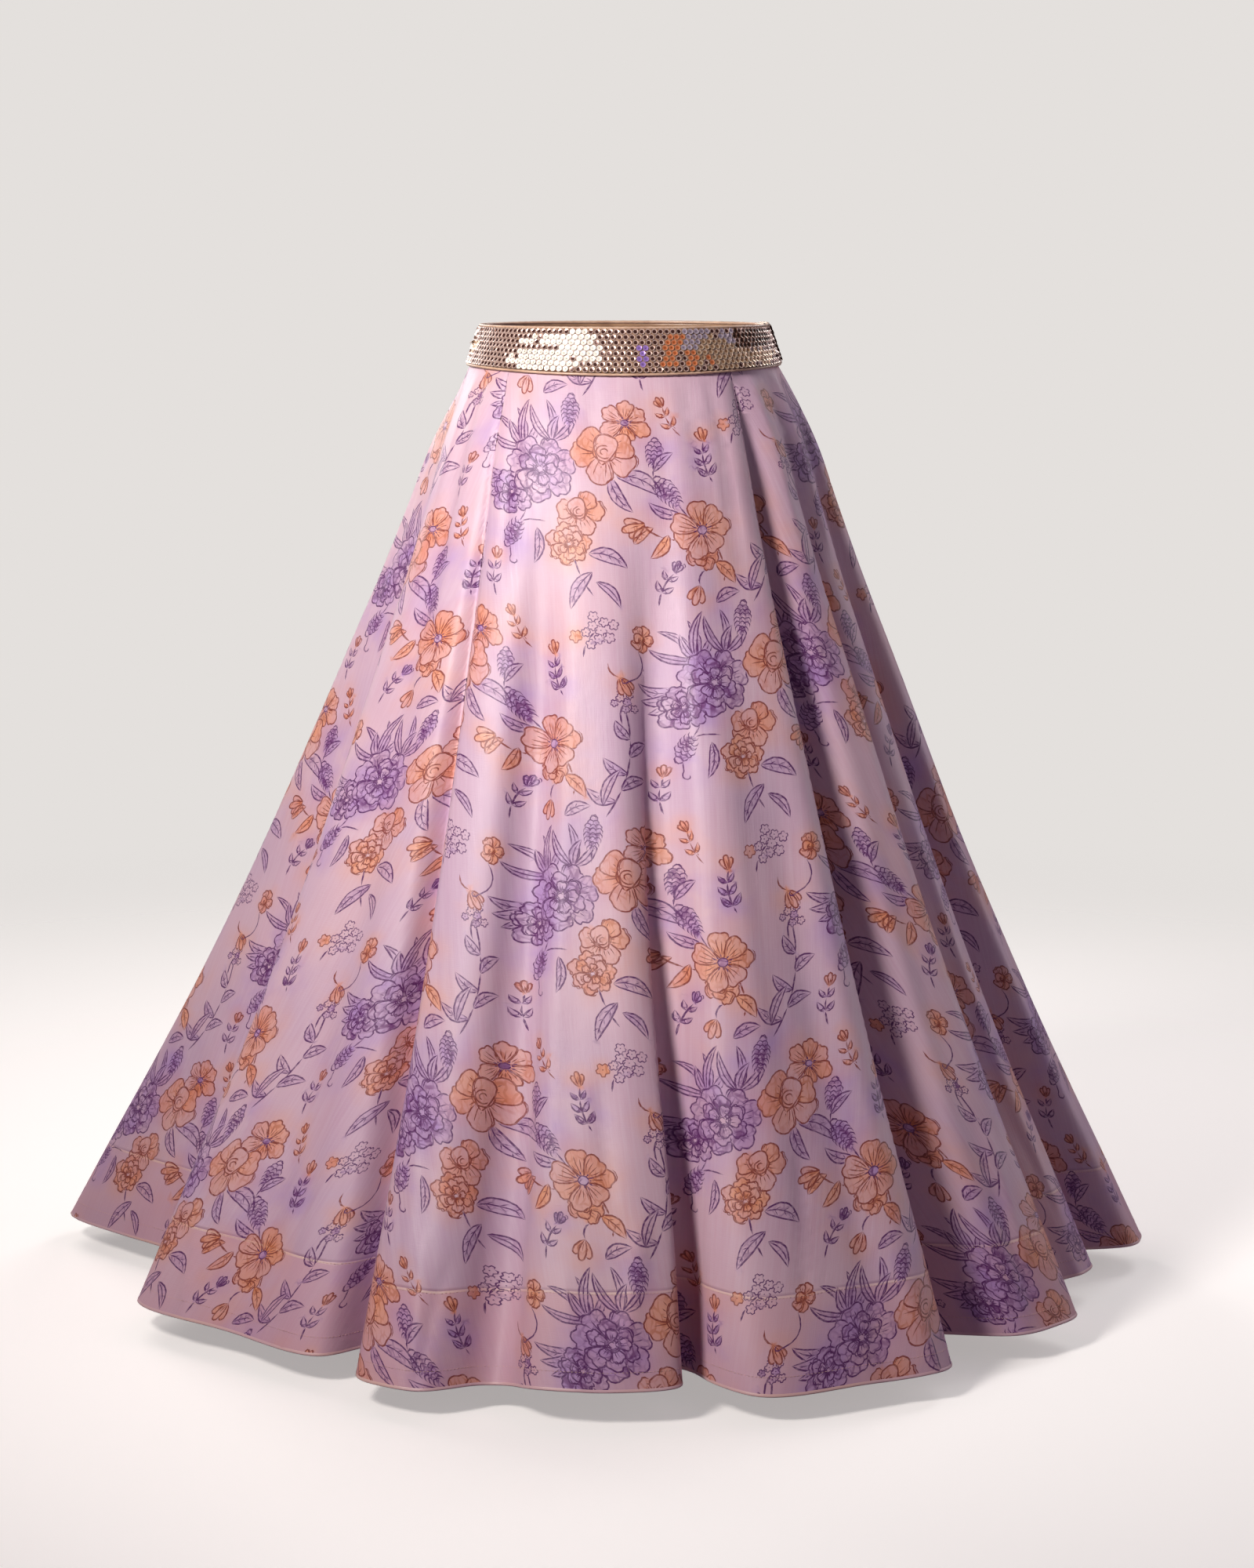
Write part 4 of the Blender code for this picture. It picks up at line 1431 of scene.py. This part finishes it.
# How far the repeat is shifted on each panel, across and down, in millimetres.
FIGURE_SHIFTS = {
    "panel_front": (0.0, 0.0),
    "panel_front_left": (70.0, 120.0),
    "panel_front_right": (-40.0, 190.0),
    "panel_back_right": (30.0, 60.0),
    "panel_back_left": (-60.0, 250.0),
}
for panel_number, (panel_name, first, last) in enumerate(PANELS):
    make_panel(panel_number, panel_name, first, last, FIGURE_SHIFTS[panel_name], ORGANZA)

# %% [markdown]
# ## The hem
#
# A skirt this wide is faced: a second band of cloth, 90 mm deep, is sewn inside the hem, so it
# falls straight and doesn't fray. The facing is one strip that runs down the inside, turns round
# the hem's edge and comes up two millimetres on the outside, where it shows as a fine light rim.
# It is lofted from the panels' own surface, moved in, so it follows every fold.

# %% Plain facing organza


def dye_drift(tree, shader, place, noise, dark, light):
    """Let the colour drift from dark to light; each is a hex colour and its place on the noise."""
    drift = add_node(tree, "ShaderNodeTexNoise", noise, Vector=place)
    shades = add_node(tree, "ShaderNodeValToRGB", Fac=drift.outputs["Fac"])
    for stop, (colour, position) in zip(shades.color_ramp.elements, (dark, light)):
        stop.color = linear(colour)
        stop.position = position
    tree.links.new(shades.outputs["Color"], shader.inputs["Base Color"])


def woven_bump(tree, shader, place, noise, bump):
    """Raise fine threads or ribs from the surface."""
    threads = add_node(tree, "ShaderNodeTexNoise", noise, Vector=place)
    raised = add_node(tree, "ShaderNodeBump", bump, Height=threads.outputs["Fac"])
    tree.links.new(raised.outputs["Normal"], shader.inputs["Normal"])


def facing_organza():
    """Unprinted organza: the same thread, a paler pink, woven a little tighter."""
    material, tree, shader = new_material("plain_silk_organza_facing", Roughness=0.46,
                                          Sheen_Weight=0.2)
    place = own_place(tree)
    stretched = add_node(tree, "ShaderNodeMapping", {"Scale": (1.0, 1.0, 0.05)}, Vector=place)
    dye_drift(tree, shader, place, {"Scale": 9.0, "Detail": 2.0},
              ("#E0B7C2", 0.35), ("#E7BCB4", 0.65))
    woven_bump(tree, shader, stretched.outputs["Vector"],
               {"Scale": 1.0 / THREAD / 2.0, "Detail": 2.0}, {"Strength": 0.25, "Distance": 0.0004})
    return material


# %% The hem facing
FACING_INSET = 0.0014                 # between the panels' outer side and the facing
RIM_HEIGHT = 0.0022                   # how far the turned edge comes up on the outside
RIM_OUT = 0.0004                      # how far it stands out there
FOLDED_LIP = 0.003                    # the turned-in upper edge
HEM_COLUMNS = 2                       # every second fine column is enough for the facing
TURN_STEPS = 6


def loft(name, rings, closed_round, material, closed_profile=False):
    """A mesh through rings of points: an array of columns by profile points by 3."""
    columns, rows = rings.shape[:2]
    faces = []
    for i in range(columns if closed_round else columns - 1):
        for j in range(rows if closed_profile else rows - 1):
            a, b = i * rows + j, (i + 1) % columns * rows + j
            k = 1 if j + 1 < rows else 1 - rows
            faces.append((a, a + k, b + k, b))
    return new_mesh(name, rings.reshape(-1, 3).tolist(), faces, material)


def heights_above_hem():
    """How far each row of the surface lies above the hem, along the cloth."""
    slant = np.linalg.norm(np.diff(plain_surface, axis=1), axis=2).mean(axis=0)
    return np.concatenate([np.cumsum(slant[::-1])[::-1], [0.0]])


def make_hem_facing():
    """The facing, its turned lower edge and its folded upper edge, as one lofted strip."""
    surface = cloth_surface[::HEM_COLUMNS]
    normals = cloth_normals[::HEM_COLUMNS]
    first = int(np.argmax(heights_above_hem() < FACING_DEPTH))
    hem, out = surface[:, -1], normals[:, -1]
    down = unit(surface[:, -1] - surface[:, -2])
    lip = FACING_INSET - 0.0005
    profile = [surface[:, first] - normals[:, first] * lip + down * FOLDED_LIP]
    for r in range(first, surface.shape[1]):
        profile.append(surface[:, r] - normals[:, r] * FACING_INSET)
    radius = (FACING_INSET + RIM_OUT) / 2.0
    for k in range(1, TURN_STEPS):
        angle = math.pi * k / TURN_STEPS
        reach = -radius * math.cos(angle) - FACING_INSET + radius
        profile.append(hem + out * reach + down * radius * math.sin(angle))
    for rise in (0.0, 0.5, 1.0):
        reach = RIM_OUT - 0.0003 * rise ** 2
        profile.append(hem + out * reach - down * RIM_HEIGHT * rise)
    mesh = loft("hem_facing_fine", np.stack(profile, axis=1), True, facing_organza())
    facing = add_piece("hem_facing_fine", mesh, stands_for="hem_facing")


make_hem_facing()

# %% [markdown]
# ## Stitches
#
# Two rows of machine stitches run round the hem: one holds the facing's upper edge and the other
# lies a finger's width above the hem. Each stitch is a tiny spindle of thread that lies on the
# cloth, 2.6 mm long with a gap after it, as a medium straight stitch is.

# %% Stitches round the hem
STITCH_LENGTH = 0.0026
STITCH_PITCH = 0.0036
THREAD_RADIUS = 0.00028
STITCH_LIFT = 0.0001
STITCH_ROWS = (FACING_DEPTH - 0.002, 0.017)
# A stitch's section at its middle, across and out of the cloth, in thread radii.
STITCH_SECTION = ((1, 0.25), (0, 1.2), (-1, 0.25), (0, -0.4))


def silk_thread():
    """Spun silk thread, dyed peach: a soft lustre and no pattern that could show."""
    material, tree, shader = new_material("silk_sewing_thread", Roughness=0.42)
    place = own_place(tree)
    dye_drift(tree, shader, place, {"Scale": 160.0}, ("#E3AFA0", 0.0), ("#F4D3C4", 1.0))
    return material


def make_hem_stitches():
    """Both rows of stitches as one joined mesh."""
    above = heights_above_hem()
    points, faces = [], []
    for height in STITCH_ROWS:
        row = np.interp(-height, -above, np.arange(len(above)))
        r, part = int(row), row - int(row)
        line, out = [field[:, r] * (1 - part) + field[:, r + 1] * part
                     for field in (cloth_surface, cloth_normals)]
        line, out = np.concatenate([line, line[:1]]), np.concatenate([out, out[:1]])
        lengths = running_length(line)
        starts = np.arange(0.0, lengths[-1] - STITCH_LENGTH, STITCH_PITCH)
        read = [read_along(starts + STITCH_LENGTH * share, lengths, field)
                for share in (0.0, 0.5, 1.0) for field in (line, out)]
        for a, out_a, middle, out_middle, b, out_b in zip(*read):
            up = unit(out_middle)
            side = np.cross(unit(b - a), up)
            first = len(points)
            points.append(a + out_a * STITCH_LIFT)
            for x, y in STITCH_SECTION:
                points.append(middle + (side * x + up * y) * THREAD_RADIUS + up * STITCH_LIFT)
            points.append(b + out_b * STITCH_LIFT)
            for k in range(4):
                one, other = first + 1 + k, first + 1 + (k + 1) % 4
                faces += [(first, one, other), (first + 5, other, one)]
    mesh = new_mesh("hem_stitches", [tuple(p) for p in points], faces, silk_thread())
    add_piece("hem_stitches", mesh)
    print("hem stitches:", len(points) // 6)


make_hem_stitches()

# %% [markdown]
# ## The waistband
#
# The band is satin over stiff buckram, cut on a shallow cone so that it sits on the hips, and
# its end laps over its beginning at the left side. Its ground shows only between the sequins and
# on the inside. It is lofted as one closed strip with soft edges.

# %% Champagne satin
BAND_COLUMNS = 432
LAP_SWEEP = 360.0 + LAP_LENGTH_DEG


def champagne_satin(name, dark, light, ribs_per_metre):
    """Woven satin: long floats give a smooth, directional shine."""
    material, tree, shader = new_material(name, Roughness=0.34, Sheen_Weight=0.15,
                                          Specular_IOR_Level=0.6)
    place = own_place(tree)
    dye_drift(tree, shader, place, {"Scale": 60.0, "Detail": 3.0}, (dark, 0.3), (light, 0.7))
    woven_bump(tree, shader, place, {"Scale": ribs_per_metre, "Detail": 1.0},
               {"Strength": 0.3, "Distance": 0.0002})
    return material


BAND_SATIN = champagne_satin("champagne_satin_ground", "#8E6B50", "#B08B6A", 2500.0)
PIPING_SATIN = champagne_satin("champagne_satin_piping", "#C49C82", "#E0BFA4", 1800.0)


def lap_rise(deg):
    """How far the band's upper end has stepped out over its under end."""
    t = np.clip((deg - LAP_START_DEG - 360.0 + LAP_RISE_DEG) / LAP_RISE_DEG, 0.0, 1.0)
    return (BAND_WALL + SEAM_GAP) * t * t * (3.0 - 2.0 * t)


# %% The band's strip
SOFT_EDGE = 0.0006                    # how far the strip's corners are rounded
SHARP_ANGLE_DEG = 50.0


def make_waistband():
    """The strip between the two pipings, closed all round its section and capped at its ends."""
    degs = LAP_START_DEG + LAP_SWEEP * np.arange(BAND_COLUMNS + 1) / BAND_COLUMNS
    drop = band_drop(degs)
    edge = 2.0 * PIPING_RADIUS + SEAM_GAP
    shares = np.linspace(0.02, 0.98, 7)
    corners = [(share, 0.0) for share in shares]
    corners += [(1.0, SOFT_EDGE), (1.0, BAND_WALL - SOFT_EDGE)]
    corners += [(share, BAND_WALL) for share in np.linspace(0.98, 0.02, 7)]
    corners += [(0.0, BAND_WALL - SOFT_EDGE), (0.0, SOFT_EDGE)]
    profile = []
    for share, inset in corners:
        down = (edge + (drop - 2.0 * edge) * share) / drop
        profile.append(band_point(degs, down, inset - lap_rise(degs)))
    mesh = loft("sequinned_waistband", np.stack(profile, axis=1), False, BAND_SATIN,
                closed_profile=True)
    rows, last = len(corners), BAND_COLUMNS * len(corners)
    work = bmesh.new()
    work.from_mesh(mesh)
    work.verts.ensure_lookup_table()
    for cap in (range(rows), range(last + rows - 1, last - 1, -1)):
        work.faces.new([work.verts[k] for k in cap])
    bmesh.ops.recalc_face_normals(work, faces=work.faces)
    work.to_mesh(mesh)
    work.free()
    mesh.set_sharp_from_angle(angle=math.radians(SHARP_ANGLE_DEG))
    add_piece("sequinned_waistband", mesh, stands_for="waistband")
    print("waistband:", len(mesh.polygons), "faces")


make_waistband()

# %% Piping along both edges
PIPING_COLUMNS = 520
PIPING_SIDES = 8
PUCKER_SPACING_DEG = 3.4              # between the small puckers of the bias strip
PUCKER_DEPTH = 0.05                   # as a share of the piping's radius


def make_piping(name, at_top):
    """A cord covered in a bias strip of satin, which puckers slightly as it goes round."""
    degs = LAP_START_DEG + LAP_SWEEP * np.arange(PIPING_COLUMNS + 1) / PIPING_COLUMNS
    share = PIPING_RADIUS / band_drop(degs)
    down = share if at_top else 1.0 - share
    centre = band_point(degs, down, BAND_WALL / 2.0 - lap_rise(degs))
    along = unit(np.gradient(centre, axis=0))
    side = unit(np.cross(along, (0.0, 0.0, 1.0)))
    over = np.cross(side, along)
    rings = []
    for k in range(PIPING_SIDES):
        turn = 2.0 * math.pi * k / PIPING_SIDES
        pucker = np.sin(2.0 * math.pi * degs / PUCKER_SPACING_DEG + turn)
        radius = (PIPING_RADIUS * (1.0 + PUCKER_DEPTH * pucker))[:, None]
        rings.append(centre + (side * math.cos(turn) + over * math.sin(turn)) * radius)
    mesh = loft(name + "_fine", np.stack(rings, axis=1), False, PIPING_SATIN, closed_profile=True)
    add_piece(name + "_fine", mesh, stands_for=name)
    print(name, "is", len(rings), "sided")


make_piping("piping_top", True)
make_piping("piping_bottom", False)

# %% [markdown]
# ## Sequins
#
# A sequin is a small cup stamped from metallised film. Eight staggered rows of them cover the
# band, each row's lower edge lying over the row below, and each sequin sits at a slightly
# different tilt, which is what makes the band glitter. Most are bronze. On every foil the cup is
# painted darker, as a painted reflection, and the rim lighter, as a painted highlight. Patches of
# other foils lie among them: a coral flower, lilac, silver and pale gold. A broad patch is painted
# near white as a glint, and darker patches are painted as shade. All are built as one mesh with a
# colour for each face.

# %% The foils and where they lie
# A foil's cup and rim are one film: the cup is painted darker as a painted reflection and the rim
# lighter as a painted highlight; mirror is how metallic it is.
Foil = namedtuple("Foil", "cup rim mirror")
FOILS = {
    "bronze": Foil("#573730", "#E0C0B2", 0.42),
    # painted glint: sequins painted near white as a painted highlight
    "painted_glint": Foil("#FFF3E2", "#FFFAF2", 0.12),
    "lilac": Foil("#9C78C8", "#B996DC", 0.30),
    "coral": Foil("#D0703F", "#E59A72", 0.30),
    "silver": Foil("#B3A2B4", "#DACBD4", 0.45),
    "pale_gold": Foil("#B88F6C", "#E8CDB0", 0.45),
    # painted shade: sequins painted dark, as if turned away from the light
    "painted_shade": Foil("#3A2216", "#7C5540", 0.60),
}
# Degrees are measured from the front towards +X, rows count from the top.
Patch = namedtuple("Patch", "foil deg row half_degs half_rows")
# painted_glint patches are a painted highlight and painted_shade patches are painted shade; the
# rest are foils of other colours
PATCHES = [Patch(*row) for row in (
    ("painted_glint", -31, 6.6, 17.0, 2.0),
    ("painted_glint", -22, 2.4, 13.5, 1.5),
    ("painted_glint", -40, 2.9, 5.0, 0.7),
    ("painted_glint", -16, 4.9, 9.0, 1.4),
    ("bronze", -25, 0.9, 3.0, 0.7),
    ("lilac", 6.5, 5.2, 2.0, 1.7),
    ("silver", 28, 2.4, 8.5, 2.6),
    ("pale_gold", 40, 5.2, 14.0, 3.2),
    ("coral", 19, 3.2, 4.4, 2.2),
    ("coral", 16, 6.2, 3.0, 1.6),
    ("coral", 25, 6.0, 2.4, 1.8),
    ("bronze", 21, 5.6, 1.8, 1.2),
    ("coral", 33, 6.6, 1.4, 0.9),
    ("silver", 44, 2.0, 5.0, 1.3),
    ("painted_shade", 60, 2.6, 14.0, 2.4),
    ("pale_gold", 60, 6.4, 15.0, 1.6),
    ("pale_gold", -80, 5.0, 9.0, 1.4),
    ("painted_glint", 112, 4.0, 10.0, 2.6),
    ("coral", 132, 4.4, 5.0, 2.4),
    ("lilac", 141, 5.2, 2.4, 1.6),
    ("silver", 158, 3.0, 9.0, 2.4),
    ("pale_gold", 176, 5.0, 13.0, 2.6),
    ("painted_glint", 206, 4.6, 14.0, 2.8),
    ("coral", 232, 3.6, 5.0, 2.2),
    ("lilac", 242, 5.4, 2.2, 1.6),
    ("painted_shade", 256, 3.2, 8.0, 2.2),
)]
SEQUIN_ROWS = 8
SEQUINS_A_ROW = 148
SEQUIN_RADIUS = 0.00300
SEQUIN_SIDES = 10
CUP_DEPTH = 0.00040
SEQUIN_LIFT = 0.0007                  # its middle above the satin
LOOSE_LIFT = 0.0011                   # how much further out one hangs that has worked loose
# Those that have: angle, row and tilt.
LOOSE_SEQUINS = ((76.0, 6, 58.0), (71.0, 4, 35.0), (79.0, 5, 24.0), (-84.0, 3, 30.0))
# The sequin's hole is not cut through: its middle faces are painted near black, as painted shade.
HOLE_PAINTED_SHADE = "#2E1B12"
RESTING_LEAN_DEG = 7.0                # each row leans on the one below it
TIP_SPREAD_DEG = 3.0                  # how unevenly they tip forward
ROLL_SPREAD_DEG = 3.5                 # and sideways
sequin_hand = random.Random(23)


def foil_at(deg, row):
    """The foil of the sequin at an angle and row: the last patch that reaches it."""
    foil = "bronze"
    for patch in PATCHES:
        away = (deg - patch.deg + 180.0) % 360.0 - 180.0
        reach = math.hypot(away / patch.half_degs, (row + 1 - patch.row) / patch.half_rows)
        if reach < 1.0 + sequin_hand.uniform(-0.28, 0.22):
            foil = patch.foil
    return FOILS[foil]


# %% All the sequins as one mesh
CUP, RIM, HOLE = 0, 1, 2


def sequin_disc():
    """Points and faces of one sequin, facing +Z, and each face's zone: cup, rim or hole."""
    points = [(0.0, 0.0, -CUP_DEPTH * 0.8)]
    for reach, depth in ((0.16, -CUP_DEPTH), (0.66, -CUP_DEPTH * 0.75), (1.0, 0.0)):
        for k in range(SEQUIN_SIDES):
            turn = 2.0 * math.pi * k / SEQUIN_SIDES
            points.append((SEQUIN_RADIUS * reach * math.cos(turn),
                           SEQUIN_RADIUS * reach * math.sin(turn), depth))
    faces, zones = [], []
    for k in range(SEQUIN_SIDES):
        after = (k + 1) % SEQUIN_SIDES
        faces.append((0, 1 + k, 1 + after))
        zones.append(HOLE)
        for zone in (CUP, RIM):
            a = 1 + zone * SEQUIN_SIDES
            b = a + SEQUIN_SIDES
            faces.append((a + k, b + k, b + after, a + after))
            zones.append(zone)
    return np.array(points), faces, zones


def sequin_foil():
    """Metallised film: a mirror under tinted lacquer, which is clouded more on some foils. The
    painted glint is nearly matt, so its painted near-white shows evenly.
    """
    material, tree, shader = new_material("metallised_sequin_film", Coat_Weight=0.3)
    tint = add_node(tree, "ShaderNodeAttribute", {"attribute_name": "foil"})
    place = own_place(tree)
    scuffs = add_node(tree, "ShaderNodeTexNoise", {"Scale": 900.0, "Detail": 2.0}, Vector=place)
    rough = add_node(tree, "ShaderNodeMapRange", {"To Min": 0.16, "To Max": 0.34},
                     Value=scuffs.outputs["Fac"])
    mirror = add_node(tree, "ShaderNodeAttribute", {"attribute_name": "mirror"})
    tree.links.new(tint.outputs["Color"], shader.inputs["Base Color"])
    tree.links.new(mirror.outputs["Fac"], shader.inputs["Metallic"])
    tree.links.new(rough.outputs["Result"], shader.inputs["Roughness"])
    return material


def swung(one, other, deg):
    """Two directions at right angles, both turned from the first towards the second."""
    turn = math.radians(deg)
    return (one * math.cos(turn) + other * math.sin(turn),
            other * math.cos(turn) - one * math.sin(turn))


def sequin_places():
    """Each sequin's angle, row, tip, roll and lift: the sewn ones and then the loose ones."""
    places = []
    for row in range(SEQUIN_ROWS):
        for k in range(SEQUINS_A_ROW):
            deg = LAP_START_DEG + LAP_LENGTH_DEG + 360.0 * (k + 0.5 * (row % 2)) / SEQUINS_A_ROW
            tip = sequin_hand.gauss(0.0, TIP_SPREAD_DEG)
            places.append((deg, row, tip, sequin_hand.gauss(0.0, ROLL_SPREAD_DEG), 0.0))
    for deg, row, tilt in LOOSE_SEQUINS:
        places.append((deg + 360.0, row, tilt, tilt * 0.4, LOOSE_LIFT))
    return places


def make_sequins():
    """Eight staggered rows round the band, and a few that have worked loose."""
    disc, disc_faces, zones = sequin_disc()
    points, faces, colours, mirrors = [], [], [], []
    edge = 2.0 * PIPING_RADIUS + SEQUIN_RADIUS * 0.86
    places = sequin_places()
    for deg, row, tip, roll, lift in places:
        drop = float(band_drop(deg))
        down = (edge + (drop - 2.0 * edge) * row / (SEQUIN_ROWS - 1)) / drop
        here = Vector(band_point(deg, down, -float(lap_rise(deg)) - SEQUIN_LIFT - lift))
        ahead = band_point(deg + 0.5, down, 0.0) - band_point(deg - 0.5, down, 0.0)
        along = Vector(ahead).normalized()
        up = Vector(band_point(deg, down - 0.05, 0.0) - band_point(deg, down + 0.05, 0.0))
        out = along.cross(up.normalized()).normalized()
        if out.dot(here.to_2d().to_3d()) < 0.0:
            out = -out
        up = out.cross(along).normalized()
        out, up = swung(out, up, RESTING_LEAN_DEG + tip)
        side, out = swung(along, out, roll)
        first = len(points)
        points += [here + side * x + up * y + out * z for x, y, z in disc]
        faces += [tuple(first + k for k in face) for face in disc_faces]
        foil = foil_at(deg, row)
        shades = (linear(foil.cup), linear(foil.rim), linear(HOLE_PAINTED_SHADE))
        colours += [shades[zone] for zone in zones]
        mirrors += [foil.mirror] * len(zones)
    mesh = new_mesh("sequins", [tuple(p) for p in points], faces, sequin_foil())
    per_corner = [colour for colour, face in zip(colours, faces) for _ in face]
    # the foil colours carry the painted rim highlights, the painted glint and the painted shade
    add_layer(mesh, "foil", per_corner, "CORNER", "FLOAT_COLOR")
    add_layer(mesh, "mirror", mirrors, "FACE")
    add_piece("sequins", mesh)
    print("sequins:", len(places))


make_sequins()
